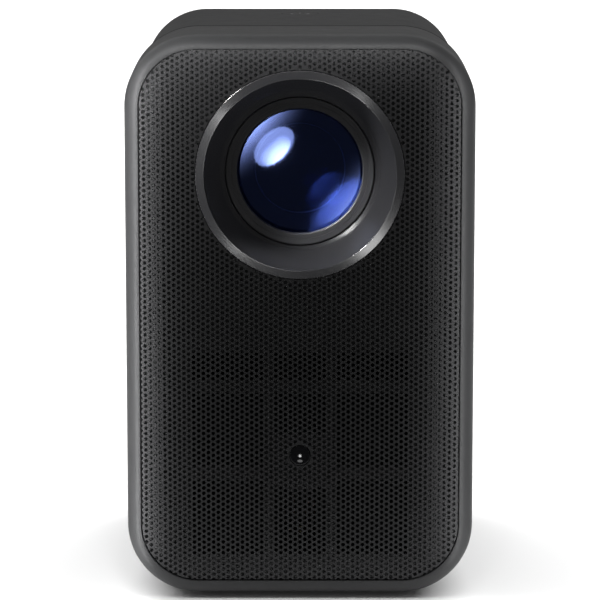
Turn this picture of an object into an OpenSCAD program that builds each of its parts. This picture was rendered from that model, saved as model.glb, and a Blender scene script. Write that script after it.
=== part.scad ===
// Home projector: an upright rounded box with a perforated front, a motor-focused lens above
// two speakers, and a sealed light engine that folds its light path with a 45 degree mirror.
// Millimetres. +Z is up and the lens looks towards -Y. The origin is on the floor under the middle.

/* [Body] */
// Width of the front shell at its widest
shell_w = 125.2; // [125.2:0.2:127]
// Height of the front shell
shell_h = 203; // [203:0.5:206]
// Depth of the whole body
body_d = 145; // [145:0.5:147]
// Radius of the four long corners of the front shell
corner_r = 26; // [25:0.5:26]
// Depth of the front shell
shell_d = 39; // [39:0.5:40]
// Wall thickness of the shells
wall = 2.4; // [2.2:0.1:2.5]
// How far the rear housing lies inside the front shell's outline
step_in = 1.5; // [1.4:0.1:1.7]
// Radius of the front shell's front edge
front_fillet = 4.2; // [3.8:0.1:4.3]
// Radius of the rear cover's back edge
rear_fillet = 4; // [3.6:0.1:4.2]
// Width of the rim around the grille, edge radius included
rim_w = 5; // [4.9:0.1:5.1]
// How much the front shell tapers towards its front, on each side
draft = 0.3; // [0.1:0.05:0.4]
// Gap between the floor and the front shell
floor_gap = 1.5; // [1.5:0.1:1.6]

/* [Front] */
// Thickness of the perforated front sheet
sheet_t = 0.8; // [0.5:0.1:0.8]
// How far the front sheet lies behind the rim
sheet_recess = 0.7; // [0.5:0.1:0.8]
// Gap around the front sheet
sheet_gap = 0.35; // [0.3:0.05:0.4]
// Height of the sensor window above the shell's bottom
sensor_h = 51.4; // [50:0.2:52]
// Diameter of the sensor window
sensor_d = 7.5; // [7:0.1:7.6]
// Diameter of a speaker's cone
cone_d = 31; // [30:0.5:31]

/* [Lens] */
// Height of the lens axis above the shell's bottom
lens_h = 152.9; // [152.9:0.1:153.2]
// Outer diameter of the trim ring
trim_d = 74.4; // [74:0.2:74.6]
// Diameter of the trim ring's nose, where its cone starts
nose_d = 68.6; // [67:0.2:69]
// Diameter of the trim ring's throat
throat_d = 53.8; // [53.8:0.1:54.2]
// Depth of the cone, from nose to throat
cone_depth = 12.3; // [12:0.1:12.4]
// Diameter of the front lens that shows
glass_d = 45; // [44:0.2:45.4]
// Travel of the lens barrel from its middle to either end, for 75 degrees of the focus ring
focus_travel = 5; // [4:0.5:5]

/* [Cooling] */
// Side of the square exhaust fan
fan_side = 70; // [66:1:70]
// Depth of the exhaust fan
fan_depth = 15; // [14:0.5:15]
// Blades on each fan
fan_blades = 9; // [7:1:11]
// Fins on the heat sink
fin_count = 24; // [18:1:26]

/* [Rear] */
// Rows of vent slots
vent_rows = 3; // [2:1:3]
// Slots in a row
vent_cols = 15; // [11:2:15]
// Diameter of the audio socket's bore
audio_d = 3.6; // [3.5:0.05:3.7]
// Travel of the power button
button_travel = 0.5; // [0.3:0.1:0.6]

/* [Hidden] */
$fn = 64;

// Depths run along +y from the front plane to the back plane
y_front = -body_d / 2;
y_seam = y_front + shell_d;
y_back = body_d / 2;
y_sheet = y_front + sheet_recess;
y_baffle = y_front + 3.1;
baffle_t = 2;
y_cover = y_back - rear_fillet;

// Heights above the floor
z_shell = floor_gap;
z_mid = z_shell + shell_h / 2;
z_lens = z_shell + lens_h;
z_sensor = z_shell + sensor_h;
rear_w = shell_w - 2 * step_in;
rear_h = shell_h - 2 * step_in;
rear_r = corner_r - step_in;
z_base = z_mid - rear_h / 2;
z_floor = z_base + wall;
z_roof = z_mid + rear_h / 2 - wall;

// Rim opening, and the front sheet inside it
rim_opening_w = shell_w - 2 * (draft + rim_w);
rim_opening_h = shell_h - 2 * (draft + rim_w);
rim_opening_r = corner_r - draft - rim_w;
lip_t = 3;

// Windows of the front baffle: [lowest x, highest x, lowest height, highest height]
side_x = [13, 39];
mid_x = 9.4;
side_windows = [[14.5, 41.7], [46.9, 73.6], [78.6, 88.4]];
mid_windows = [[14.5, 39.2], [58.9, 73.6], [78.6, 88.4]];

// Lens, focus drive
barrel_r = 26.5;
glass_r = glass_d / 2;
slide_fit = 0.05;
y_throat = y_front + cone_depth;
y_barrel_back = y_throat + 34;
barrel_wall = 2;
y_key = y_barrel_back - 12;
key_r = 2;
guide_r = barrel_r + 1.5;
y_flange = y_barrel_back + 2.8;
flange_t = 3;
y_engine = y_flange + flange_t + 0.2;
ring_front = y_key - 12;
ring_back = y_key + 10;
gear_m = 1;
gear_w = 8;
ring_teeth = 64;
pinion_teeth = 14;
ring_r = 31;
drive_angle = 45;
gear_gap = 0.1;
pinion_x = gear_m * (ring_teeth + pinion_teeth) / 2 + gear_gap;
pinion_back = ring_back + 0.5;
motor_r = 7.5;
motor_len = 16;
y_motor_back = ring_back - gear_w - 2;

// Light engine: the light rises at y_stack and the mirror turns it forward
y_stack = 12;
engine_x = 50;
engine_y = 32;
engine_wall = 2;
z_engine = 40;
z_mirror_box = 122;
mirror_box_x = 46;
mirror_box_top = 190;
mirror_len = 80;
mirror_t = 2;
stack_x = 47;
stack_y = 29.2;
ledge = 3.5;
z_collimator = 90;
z_polariser = 98;
z_panel = 108;
z_field = 118;
lens_plate_t = 2;
panel_t = 2.2;

// Heat sink under the engine
z_sink = 27.6;
sink_x = 38;
sink_y0 = -4;
sink_y1 = 44;
z_fins = 9.5;
z_plate = 34.6;
plate_t = 3;
pipe_r = 2.5;
pipe_bend = 9;
pipe_y = [8, 26];
z_pipe = 31.1;
post_x = 43.5;
post_y = [-1, 37];

// Fans
fan_y = 50;
fan_z = 46;
blower_side = 40;
blower_depth = 10;
blower_y = y_stack + engine_y + 0.2;
blower_z = 104;

// Boards stand against the side walls
board_x = 55.2;
board_t = 1.6;
port_face = y_back - 0.8;
dc_z = 104;
hdmi_z = 126;
usb_z = 146;
audio_z = 164;
dc_x = 50.2;
audio_x = 51.8;
dc_r = 3.1;
dc_pin_r = 1.25;
dc_depth = 9.5;
audio_len = 13;

// Speakers
speaker_x = 26;
speaker_z = z_shell + 44;
cone_r = cone_d / 2;
driver_r = 20;
y_driver = y_baffle + baffle_t + 0.2;

// Power button, on the top near the back
button_y = y_front + 116.7;
button_r = 7;
button_z = z_mid + rear_h / 2;
button_post_x = 12;

// Base
feet_x = 30;
feet_y = [-22, 58];
foot_r = 6;
foot_recess = 0.8;
filter_x = 30;
filter_y = [2, 42];
tripod_y = -15;
tripod_r = 3.175;
tripod_len = 9;

// Screws of the rear cover, on the diagonals of its corners
screw_reach = 16.5;
screw_x = rear_w / 2 - rear_r + screw_reach * cos(45);
screw_z = rear_h / 2 - rear_r + screw_reach * sin(45);
boss_r = 5.8;

shell_grey = [0.27, 0.275, 0.285];
body_grey = [0.22, 0.225, 0.23];
sheet_grey = [0.36, 0.365, 0.37];
inner_black = [0.07, 0.07, 0.075];
gloss_black = [0.03, 0.03, 0.035];
glass_blue = [0.35, 0.45, 0.65, 0.5];
board_green = [0.05, 0.22, 0.14];
steel = [0.75, 0.76, 0.78];
copper = [0.78, 0.45, 0.3];
brass = [0.78, 0.65, 0.35];

// ---- Shared shapes ----

// Rectangle with round corners, about the origin
module round_rect(w, h, r) {
    square([w - 2 * r, h], center = true);
    square([w, h - 2 * r], center = true);
    for (x = [-1, 1], z = [-1, 1])
        translate([x * (w / 2 - r), z * (h / 2 - r)])
            circle(r);
}

// Extrudes an outline, drawn as x and z, from depth y0 to y1
module along_y(y0, y1) {
    translate([0, y1, 0])
        rotate([90, 0, 0])
            linear_extrude(y1 - y0)
                children();
}

// Turns a profile, drawn as radius and depth, around a line along y at x, z
module turned_y(x, z) {
    translate([x, 0, z])
        rotate([-90, 0, 0])
            rotate_extrude()
                children();
}

module rod_y(r, x, z, y0, y1) {
    translate([x, y0, z])
        rotate([-90, 0, 0])
            cylinder(r = r, h = y1 - y0);
}

module tube_y(r_out, r_in, x, z, y0, y1) {
    difference() {
        rod_y(r_out, x, z, y0, y1);
        rod_y(r_in, x, z, y0 - 1, y1 + 1);
    }
}

// A box from its lowest to its highest corner
module block(low, high) {
    translate(low)
        cube(high - low);
}

// Carries a profile, drawn as distance out from the corner's centre and depth, around the body
module around_body(w, h, r) {
    a = w / 2 - r;
    b = h / 2 - r;
    translate([0, 0, z_mid])
        rotate([-90, 0, 0])
            for (half = [0, 180])
                rotate([0, 0, half]) {
                    translate([a, b, 0])
                        rotate_extrude(angle = 90)
                            children();
                    translate([-a, b, 0])
                        rotate([0, 0, 90])
                            rotate_extrude(angle = 90)
                                children();
                    translate([a, b, 0])
                        rotate([90, 0, 0])
                            linear_extrude(2 * b)
                                children();
                    translate([-a, b, 0])
                        rotate([90, 0, 90])
                            linear_extrude(2 * a)
                                children();
                }
}

// Places something on each corner's diagonal, where the rear screws are
module at_screws() {
    for (x = [-1, 1], z = [-1, 1])
        translate([x * screw_x, 0, z_mid + z * screw_z])
            children();
}

// ---- Casing ----

module front_shell() {
    front_r = corner_r - draft;
    color(shell_grey)
        around_body(shell_w, shell_h, corner_r) {
            union() {
                polygon([
                    [corner_r - wall, y_seam],
                    [corner_r, y_seam],
                    [front_r, y_front + front_fillet],
                    [front_r - front_fillet, y_front],
                    [front_r - rim_w, y_front],
                    [front_r - rim_w, y_front + lip_t],
                    [corner_r - wall, y_front + lip_t]
                ]);
                translate([front_r - front_fillet, y_front + front_fillet])
                    intersection() {
                        circle(front_fillet);
                        translate([0, -front_fillet])
                            square(front_fillet);
                    }
            }
        }
}

module front_grille() {
    color(sheet_grey)
        along_y(y_sheet, y_sheet + sheet_t)
            translate([0, z_mid])
                difference() {
                    round_rect(
                        rim_opening_w - 2 * sheet_gap,
                        rim_opening_h - 2 * sheet_gap,
                        rim_opening_r - sheet_gap
                    );
                    translate([0, z_lens - z_mid])
                        circle(d = trim_d + 0.6);
                    translate([0, z_sensor - z_mid])
                        circle(d = sensor_d + 0.3);
                }
}

// The nine openings of the baffle
module baffle_windows() {
    for (side = [-1, 1], w = side_windows)
        translate([side > 0 ? side_x[0] : -side_x[1], z_shell + w[0]])
            square([side_x[1] - side_x[0], w[1] - w[0]]);
    for (w = mid_windows)
        translate([-mid_x, z_shell + w[0]])
            square([2 * mid_x, w[1] - w[0]]);
}

module front_baffle() {
    overlap = 0.6;
    color(inner_black) {
        along_y(y_baffle, y_baffle + baffle_t)
            difference() {
                translate([0, z_mid])
                    round_rect(
                        rim_opening_w + 2 * overlap,
                        rim_opening_h + 2 * overlap,
                        rim_opening_r + overlap
                    );
                translate([0, z_lens])
                    circle(d = trim_d - 1.8);
                translate([0, z_sensor])
                    circle(d = sensor_d - 1);
                baffle_windows();
            }
        for (x = [-1, 1], z = [z_shell + 95, z_shell + 190])
            tube_y(2.6, 1.1, x * 42, z, y_baffle + baffle_t, y_baffle + baffle_t + 6);
    }
}

module lens_trim_ring() {
    trim_r = trim_d / 2;
    sleeve_r = trim_r - 1;
    color(gloss_black)
        turned_y(0, z_lens)
            polygon([
                [trim_r, y_sheet],
                [nose_d / 2, y_front],
                [throat_d / 2, y_throat],
                [throat_d / 2, y_throat + 2.7],
                [throat_d / 2 + 1.6, y_throat + 2.7],
                [sleeve_r, y_throat],
                [sleeve_r, y_baffle],
                [trim_r, y_baffle]
            ]);
}

module sensor_window() {
    dome = 0.5;
    r = sensor_d / 2;
    ball = (r * r + dome * dome) / (2 * dome);
    color(gloss_black)
        intersection() {
            rod_y(r, 0, z_sensor, y_front, y_baffle);
            translate([0, y_front + 0.2 + ball, z_sensor])
                sphere(ball, $fn = 96);
        }
}

module sensor_module() {
    color(board_green)
        block([-5, y_baffle + 7, z_sensor - 8], [5, y_baffle + 8, z_sensor + 8]);
    color(inner_black) {
        block([-3.6, y_baffle + 3, z_sensor - 3.6], [3.6, y_baffle + 7, z_sensor + 3.6]);
        rod_y(2.8, 0, z_sensor, y_baffle + 0.2, y_baffle + 3);
    }
}

// Rear housing: an open sleeve with a spigot inside the front shell
module main_housing() {
    spigot = 6;
    spigot_r = corner_r - wall - 0.1;
    color(body_grey)
        difference() {
            union() {
                around_body(rear_w, rear_h, rear_r)
                    polygon([
                        [rear_r - wall, y_seam - spigot],
                        [spigot_r, y_seam - spigot],
                        [spigot_r, y_seam + 0.05],
                        [rear_r, y_seam + 0.05],
                        [rear_r, y_cover - 0.2],
                        [rear_r - wall, y_cover - 0.2]
                    ]);
                at_screws()
                    rod_y(boss_r, 0, 0, y_cover - 18, y_cover - 3.2);
                for (x = [-1, 1], y = post_y)
                    translate([x * post_x, y, z_floor + 0.2])
                        cylinder(r = 3, h = z_plate - 3.6 - z_floor - 0.2);
                for (x = [-1, 1])
                    translate([x * button_post_x, button_y, z_roof - 8])
                        cylinder(r = 2.4, h = 9);
                translate([0, tripod_y, z_floor - 1])
                    cylinder(r = 7, h = tripod_len + 1);
            }
            at_screws()
                rod_y(1.3, 0, 0, y_cover - 16, y_cover);
            for (x = [-1, 1])
                translate([x * button_post_x, button_y, z_roof - 9])
                    cylinder(r = 1, h = 6);
            for (x = [-1, 1], y = post_y)
                translate([x * post_x, y, 20])
                    cylinder(r = 1.2, h = 12);
            translate([0, button_y, z_roof - 1])
                cylinder(r = button_r + 0.15, h = wall + 2);
            translate([0, tripod_y, z_base - 1])
                cylinder(r = 4.5, h = tripod_len + 3.5);
            block(
                [-filter_x - 0.2, filter_y[0] - 0.2, z_base - 1],
                [filter_x + 0.2, filter_y[1] + 0.2, z_floor + 1]
            );
            for (x = [-1, 1], y = feet_y)
                translate([x * feet_x, y, z_base - 1])
                    cylinder(r = foot_r + 0.1, h = 1 + foot_recess);
        }
}

// A slot with round ends, upright
module upright_slot(w, h) {
    square([w, h - w], center = true);
    for (z = [-1, 1])
        translate([0, z * (h - w) / 2])
            circle(d = w);
}

module vent_slots() {
    pitch_x = 4.4;
    pitch_z = 21;
    for (i = [0 : vent_cols - 1], j = [0 : vent_rows - 1])
        translate([
            (i - (vent_cols - 1) / 2) * pitch_x,
            fan_z + (j - (vent_rows - 1) / 2) * pitch_z
        ])
            upright_slot(2.2, 17);
}

module port_cutouts() {
    translate([dc_x, dc_z])
        circle(r = 4.4);
    translate([52.4, hdmi_z])
        square([6.2, 15.8], center = true);
    translate([51.7, usb_z])
        square([7.4, 14.2], center = true);
    translate([audio_x, audio_z])
        circle(r = 3.3);
}

module rear_cover() {
    plate_r = rear_r - rear_fillet;
    color(body_grey)
        difference() {
            union() {
                around_body(rear_w, rear_h, rear_r)
                    union() {
                        intersection() {
                            translate([plate_r, y_cover])
                                circle(rear_fillet);
                            translate([plate_r, y_cover])
                                square(rear_fillet);
                        }
                        translate([plate_r, y_cover - 3])
                            square([1.5, 3]);
                    }
                along_y(y_back - wall, y_back)
                    translate([0, z_mid])
                        round_rect(
                            rear_w - 2 * rear_fillet,
                            rear_h - 2 * rear_fillet,
                            plate_r
                        );
                at_screws()
                    rod_y(4.2, 0, 0, y_cover - 3, y_back - 1);
            }
            at_screws() {
                rod_y(1.7, 0, 0, y_cover - 4, y_back + 1);
                rod_y(3.2, 0, 0, y_back - 3, y_back + 1);
            }
            along_y(y_back - wall - 1, y_back + 1) {
                vent_slots();
                port_cutouts();
            }
        }
}

module rear_screws() {
    color(steel)
        at_screws()
            difference() {
                union() {
                    rod_y(2.8, 0, 0, y_back - 2.9, y_back - 1.1);
                    rod_y(1.2, 0, 0, y_cover - 14, y_back - 2.9);
                }
                along_y(y_back - 2.1, y_back) {
                    square([3.2, 0.7], center = true);
                    square([0.7, 3.2], center = true);
                }
            }
}

// Slotted cover that lifts out of the base to reach the dust filter
module base_vent_cover() {
    color(body_grey)
        difference() {
            block([-filter_x, filter_y[0], z_base], [filter_x, filter_y[1], z_base + 2]);
            for (i = [-5 : 5], j = [0, 1])
                block(
                    [i * 5 - 1.2, filter_y[0] + 3 + j * 18, z_base - 1],
                    [i * 5 + 1.2, filter_y[0] + 18.5 + j * 18, z_base + 3]
                );
        }
}

module dust_filter() {
    color([0.2, 0.2, 0.21])
        block(
            [1 - filter_x, filter_y[0] + 1, z_base + 2.2],
            [filter_x - 1, filter_y[1] - 1, z_base + 5.8]
        );
}

module rubber_feet() {
    chamfer = 0.6;
    color([0.05, 0.05, 0.05])
        for (x = [-1, 1], y = feet_y)
            translate([x * feet_x, y, 0]) {
                cylinder(r1 = foot_r - chamfer, r2 = foot_r, h = chamfer);
                translate([0, 0, chamfer])
                    cylinder(r = foot_r, h = z_base + foot_recess - chamfer);
            }
}

module tripod_insert() {
    color(brass)
        translate([0, tripod_y, z_base])
            difference() {
                cylinder(r = 4.5, h = tripod_len);
                translate([0, 0, -1])
                    cylinder(r = tripod_r, h = tripod_len + 2);
            }
}

// ---- Button, ports and boards ----

module power_button() {
    color(body_grey)
        translate([0, button_y, 0]) {
            translate([0, 0, button_z - 4])
                cylinder(r = button_r, h = 4);
            translate([0, 0, button_z - 4])
                cylinder(r = button_r + 1.2, h = 1.4);
            translate([0, 0, button_z - 5.6])
                cylinder(r = 1.8, h = 2);
        }
}

module button_board() {
    top = z_roof - 8;
    color(board_green)
        difference() {
            block([-16, button_y - 7, top - board_t], [16, button_y + 7, top]);
            for (x = [-1, 1])
                translate([x * button_post_x, button_y, top - 3])
                    cylinder(r = 1.1, h = 5);
        }
    color(inner_black)
        block([-3, button_y - 3, top], [3, button_y + 3, top + 3.5]);
    color(steel)
        translate([0, button_y, top + 3.5])
            cylinder(r = 1.5, h = button_z - 5.7 - button_travel - top - 3.5);
}

module dc_jack() {
    color(inner_black)
        difference() {
            union() {
                block([dc_x - 5, port_face - 13, dc_z - 4.5], [board_x, port_face - 2, dc_z + 4.5]);
                rod_y(4.1, dc_x, dc_z, port_face - 13, port_face);
            }
            rod_y(dc_r, dc_x, dc_z, port_face - dc_depth, port_face + 1);
        }
}

module dc_jack_pin() {
    color(steel)
        rod_y(dc_pin_r, dc_x, dc_z, port_face - dc_depth, port_face - 1);
}

// A shell with a rectangular mouth and a contact tongue inside
module slot_socket(x0, x1, z, h, depth, lip, tongue) {
    mid = (x0 + x1) / 2;
    color(steel)
        difference() {
            block([x0, port_face - depth, z - h / 2], [x1, port_face, z + h / 2]);
            block(
                [x0 + lip, port_face - depth + 2, z - h / 2 + lip],
                [x1 - lip, port_face + 1, z + h / 2 - lip]
            );
        }
    color(inner_black)
        block(
            [mid - tongue / 2, port_face - depth + 1, z - h / 2 + 2 * lip + 0.6],
            [mid + tongue / 2, port_face - 1, z + h / 2 - 2 * lip - 0.6]
        );
}

module hdmi_socket() {
    slot_socket(49.6, board_x, hdmi_z, 15, 11, 0.5, 1.2);
}

module usb_socket() {
    slot_socket(48.3, board_x, usb_z, 13.2, 14, 0.5, 1.9);
}

module audio_jack() {
    color(inner_black)
        difference() {
            union() {
                block(
                    [audio_x - 3.4, port_face - audio_len, audio_z - 3],
                    [board_x, port_face - 2, audio_z + 3]
                );
                rod_y(3, audio_x, audio_z, port_face - 3, port_face);
            }
            rod_y(audio_d / 2, audio_x, audio_z, port_face - audio_len + 1, port_face + 1);
        }
}

module mainboard() {
    color(board_green)
        block([board_x, -14, 94], [board_x + board_t, port_face - 4, 180]);
    color(inner_black) {
        block([board_x - 1.6, 20, 138], [board_x, 34, 152]);
        for (z = [132, 158])
            block([board_x - 1.2, 21, z - 5], [board_x, 33, z + 5]);
        block([board_x - 1.2, 0, z_panel - 1.5], [board_x, 24, z_panel + 2.5]);
    }
}

module board_shields() {
    color(steel)
        for (y = [-10, 6])
            difference() {
                block([board_x - 2.6, y, 140], [board_x, y + 14, 166]);
                block([board_x - 2.3, y + 0.3, 140.3], [board_x + 1, y + 13.7, 165.7]);
            }
}

// Supply and lamp driver board, against the left wall
module power_board() {
    color(board_green)
        block([-board_x - board_t, -14, 44], [-board_x, 48, 112]);
    color(inner_black) {
        for (z = [52, 66])
            block([-board_x, -8, z], [-board_x + 3.5, 4, z + 10]);
        block([-board_x, 12, 50], [-board_x + 4, 26, 64]);
        block([-board_x, 12, 74], [-board_x + 2, 40, 88]);
    }
    color(steel)
        for (z = [94, 102])
            rod_y(2.4, -board_x + 2.2, z, -6, 14);
}

module wifi_antennas() {
    z_top = z_shell + shell_h - wall;
    color(board_green)
        for (x = [-1, 1])
            translate([x * 26 - 14, y_front + 10, z_top - 1.2])
                cube([28, 8, 0.8]);
}

// ---- Lens and focus drive ----

// A lens: a rim of radius r between two curved faces that bulge out by front and back
module lens_element(r, y0, y1, front, back) {
    r_front = (r * r + front * front) / (2 * front);
    r_back = (r * r + back * back) / (2 * back);
    turned_y(0, z_lens)
        intersection() {
            translate([0, y0 - front])
                square([r, y1 - y0 + front + back]);
            translate([0, y0 - front + r_front])
                circle(r_front, $fn = 256);
            translate([0, y1 + back - r_back])
                circle(r_back, $fn = 256);
        }
}

module lens_barrel() {
    inner_r = barrel_r - barrel_wall;
    stop_r = inner_r - 9.5;
    color(inner_black) {
        turned_y(0, z_lens)
            polygon([
                [barrel_r, y_throat],
                [barrel_r, y_barrel_back],
                [inner_r - 3, y_barrel_back],
                [inner_r - 3, y_barrel_back - 1.5],
                [inner_r, y_barrel_back - 1.5],
                [inner_r, y_throat + 15],
                [stop_r, y_throat + 15],
                [stop_r, y_throat + 12],
                [inner_r, y_throat + 12],
                [inner_r, y_throat]
            ]);
        for (a = [0, 120, 240])
            translate([0, y_key, z_lens])
                rotate([0, a, 0])
                    translate([0, 0, barrel_r - 1])
                        cylinder(r = key_r, h = 3.3);
    }
}

module lens_retaining_ring() {
    color(inner_black)
        tube_y(barrel_r - barrel_wall - 0.02, glass_r, 0, z_lens, y_throat + 0.1, y_throat + 2.5);
}

// The front lens is flat at the back
module front_lens() {
    r = barrel_r - barrel_wall - 0.1;
    y0 = y_throat + 3.1;
    bulge = 2.6;
    ball = (r * r + bulge * bulge) / (2 * bulge);
    color(glass_blue)
        turned_y(0, z_lens)
            intersection() {
                translate([0, y0 - bulge])
                    square([r, bulge + 4.4]);
                translate([0, y0 - bulge + ball])
                    circle(ball, $fn = 256);
            }
}

// The middle lens is hollow on both sides
module middle_lens() {
    r = barrel_r - barrel_wall - 0.1;
    y0 = y_throat + 15.1;
    rim_t = 5;
    dip = 1.7;
    ball = (r * r + dip * dip) / (2 * dip);
    color(glass_blue)
        turned_y(0, z_lens)
            difference() {
                translate([0, y0])
                    square([r, rim_t]);
                translate([0, y0 + dip - ball])
                    circle(ball, $fn = 256);
                translate([0, y0 + rim_t - dip + ball])
                    circle(ball, $fn = 256);
            }
}

module rear_lens() {
    color(glass_blue)
        lens_element(
            barrel_r - barrel_wall - 0.1, y_barrel_back - 6.2, y_barrel_back - 1.9, 4.5, 1
        );
}

module lens_mount() {
    key_slot = focus_travel + key_r + 0.1;
    color(inner_black)
        difference() {
            turned_y(0, z_lens)
                polygon([
                    [barrel_r + slide_fit, y_throat + 3],
                    [guide_r, y_throat + 3],
                    [guide_r, ring_back + 0.1],
                    [guide_r + 2, ring_back + 0.1],
                    [guide_r + 2, y_flange],
                    [guide_r + 6, y_flange],
                    [guide_r + 6, y_flange + flange_t],
                    [barrel_r + slide_fit, y_flange + flange_t]
                ]);
            for (a = [0, 120, 240])
                translate([0, y_key, z_lens])
                    rotate([0, a, 0])
                        translate([-key_r - slide_fit, -key_slot, barrel_r - 3])
                            cube([2 * (key_r + slide_fit), 2 * key_slot, 6]);
        }
}

// Half the angle that a tooth fills at radius r, with involute flanks of 20 degrees
function involute(a) = tan(a) * 180 / PI - a;
function tooth_half(pitch_r, r, play) =
    let (
        base_r = pitch_r * cos(20),
        half_thickness = PI * gear_m / 4 - play
    )
    half_thickness / pitch_r * 180 / PI + involute(20) - involute(acos(min(1, base_r / r)));

// Outline of a gear whose first tooth, or first gap, points along +x
module gear_outline(teeth, first_gap) {
    play = 0.12;
    pitch_r = gear_m * teeth / 2;
    radii = [pitch_r - 1.15 * gear_m, pitch_r, pitch_r + 0.9 * gear_m];
    turn = first_gap ? 180 / teeth : 0;
    polygon([
        for (i = [0 : teeth - 1], side = [-1, 1], k = [0 : 2])
            let (
                r = side < 0 ? radii[k] : radii[2 - k],
                a = turn + i * 360 / teeth + side * tooth_half(pitch_r, r, play)
            )
            [r * cos(a), r * sin(a)]
    ]);
}

// Turns the focus drive's own x axis to the place of the motor, below and to the right
module drive_frame() {
    translate([0, 0, z_lens])
        rotate([0, drive_angle, 0])
            children();
}

module focus_ring() {
    land = 2.6;
    bore_r = guide_r + slide_fit;
    color([0.85, 0.85, 0.82])
        drive_frame()
            difference() {
                union() {
                    rod_y(ring_r, 0, 0, ring_front, ring_back);
                    along_y(ring_back - gear_w, ring_back)
                        gear_outline(ring_teeth, true);
                }
                rod_y(bore_r, 0, 0, ring_front - 1, ring_back + 1);
                rod_y(bore_r + 1.2, 0, 0, ring_front + land, ring_back - land);
            }
}

module focus_ring_clip() {
    color(steel)
        tube_y(guide_r + 2.4, guide_r + 0.02, 0, z_lens, ring_front - 0.7, ring_front - 0.1);
}

module focus_motor() {
    color(steel)
        drive_frame()
            difference() {
                union() {
                    rod_y(motor_r, pinion_x, 0, y_motor_back - motor_len, y_motor_back);
                    rod_y(3, pinion_x, 0, y_motor_back, y_motor_back + 1);
                }
                rod_y(0.8, pinion_x, 0, y_motor_back - 8, y_motor_back + 2);
            }
}

module focus_pinion() {
    color([0.9, 0.9, 0.86])
        drive_frame()
            translate([pinion_x, 0, 0]) {
                along_y(ring_back - gear_w - 0.5, pinion_back)
                    gear_outline(pinion_teeth, false);
                rod_y(0.75, 0, 0, y_motor_back - 6, ring_back - gear_w);
            }
}

module motor_bracket() {
    reach = pinion_x + 10;
    color(steel)
        drive_frame() {
            difference() {
                block([ring_r + 0.5, y_motor_back, -7], [reach + 1.2, y_motor_back + 1.1, 7]);
                rod_y(3.05, pinion_x, 0, y_motor_back - 1, y_motor_back + 2);
            }
            block([reach, y_motor_back, -7], [reach + 1.2, y_engine - 0.1, 7]);
            difference() {
                block([reach, y_engine - 1.3, -7], [reach + 9, y_engine - 0.1, 7]);
                rod_y(1.3, reach + 5, 0, y_engine - 2, y_engine + 1);
            }
        }
}

// ---- Light engine ----

// The mirror box seen from the side, as depth and height: a front wall and a sloping back
module mirror_box_side(inset, slope_inset) {
    front = y_engine + inset;
    back = y_stack + engine_y - inset;
    slope = y_stack + z_lens + (mirror_t + slope_inset) * sqrt(2);
    top = mirror_box_top - inset;
    bottom = z_mirror_box - (inset > 0 ? 1 : 0);
    polygon([
        [front, bottom],
        [back, bottom],
        [back, slope - back],
        [slope - top, top],
        [front, top]
    ]);
}

// Extrudes a side view, drawn as depth and height, to half a width each way
module across_x(half) {
    translate([-half, 0, 0])
        rotate([90, 0, 90])
            linear_extrude(2 * half)
                children();
}

module mirror_housing() {
    color(inner_black)
        difference() {
            across_x(mirror_box_x)
                mirror_box_side(0, 2.1);
            across_x(mirror_box_x - engine_wall)
                mirror_box_side(engine_wall, 0.1);
            rod_y(27, 0, z_lens, y_engine - 1, y_engine + engine_wall + 1);
        }
}

module mirror() {
    color(steel)
        translate([0, y_stack, z_lens])
            rotate([-45, 0, 0])
                translate([-mirror_box_x + 2.5, -mirror_len / 2, 0])
                    cube([2 * mirror_box_x - 5, mirror_len, mirror_t]);
}

// A box centred on the light stack
module stack_block(half_x, half_y, z0, z1) {
    block([-half_x, y_stack - half_y, z0], [half_x, y_stack + half_y, z1]);
}

module engine_housing() {
    room_x = engine_x - engine_wall;
    room_y = engine_y - engine_wall;
    shelf_t = 1.4;
    shelves = [z_collimator, z_polariser, z_panel, z_field];
    color(inner_black) {
        difference() {
            stack_block(engine_x, engine_y, z_engine, z_mirror_box - 0.1);
            stack_block(room_x, room_y, z_engine + engine_wall, z_mirror_box);
            translate([0, y_stack, z_engine - 1])
                cylinder(r = 12, h = 4);
            block([room_x - 1, 0.5, z_panel], [engine_x + 1, 23.5, z_panel + 2]);
            rod_y(17, 0, blower_z, y_stack + room_y - 1, y_stack + engine_y + 1);
        }
        for (z = shelves)
            difference() {
                stack_block(room_x, room_y, z - shelf_t, z);
                stack_block(room_x - ledge, room_y - ledge, z - shelf_t - 1, z + 1);
            }
    }
}

module field_fresnel() {
    color(glass_blue)
        stack_block(stack_x, stack_y, z_field, z_field + lens_plate_t);
}

module lcd_panel() {
    color([0.15, 0.2, 0.3])
        stack_block(stack_x, stack_y, z_panel, z_panel + panel_t);
}

module lcd_flat_cable() {
    color([0.8, 0.5, 0.2])
        block([stack_x + 0.1, 1, z_panel + 0.6], [board_x - 1.3, 23, z_panel + 0.9]);
}

module polariser_glass() {
    color(glass_blue)
        stack_block(stack_x, stack_y, z_polariser, z_polariser + 1.1);
}

module collimating_fresnel() {
    color(glass_blue)
        stack_block(stack_x, stack_y, z_collimator, z_collimator + lens_plate_t);
}

// One tapered solid of the funnel, shrunk by inset on every side
module funnel_taper(inset, reach) {
    hull() {
        stack_block(16 - inset, 16 - inset, 58 - reach, 58);
        stack_block(45 - inset, 28 - inset, 88, 88 + reach);
    }
}

module light_funnel() {
    color(steel)
        difference() {
            funnel_taper(0, 0.01);
            funnel_taper(1.2, 1);
        }
    color(steel)
        translate([0, y_stack, 50])
            difference() {
                cylinder(r = 16, h = 8);
                translate([0, 0, -1])
                    cylinder(r = 14.1, h = 10);
            }
}

module condenser_lens() {
    r = 14;
    bulge = 5;
    ball = (r * r + bulge * bulge) / (2 * bulge);
    color(glass_blue)
        translate([0, y_stack, 50])
            intersection() {
                cylinder(r = r, h = 2 + bulge);
                translate([0, 0, 2 + bulge - ball])
                    sphere(ball, $fn = 96);
            }
}

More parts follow.
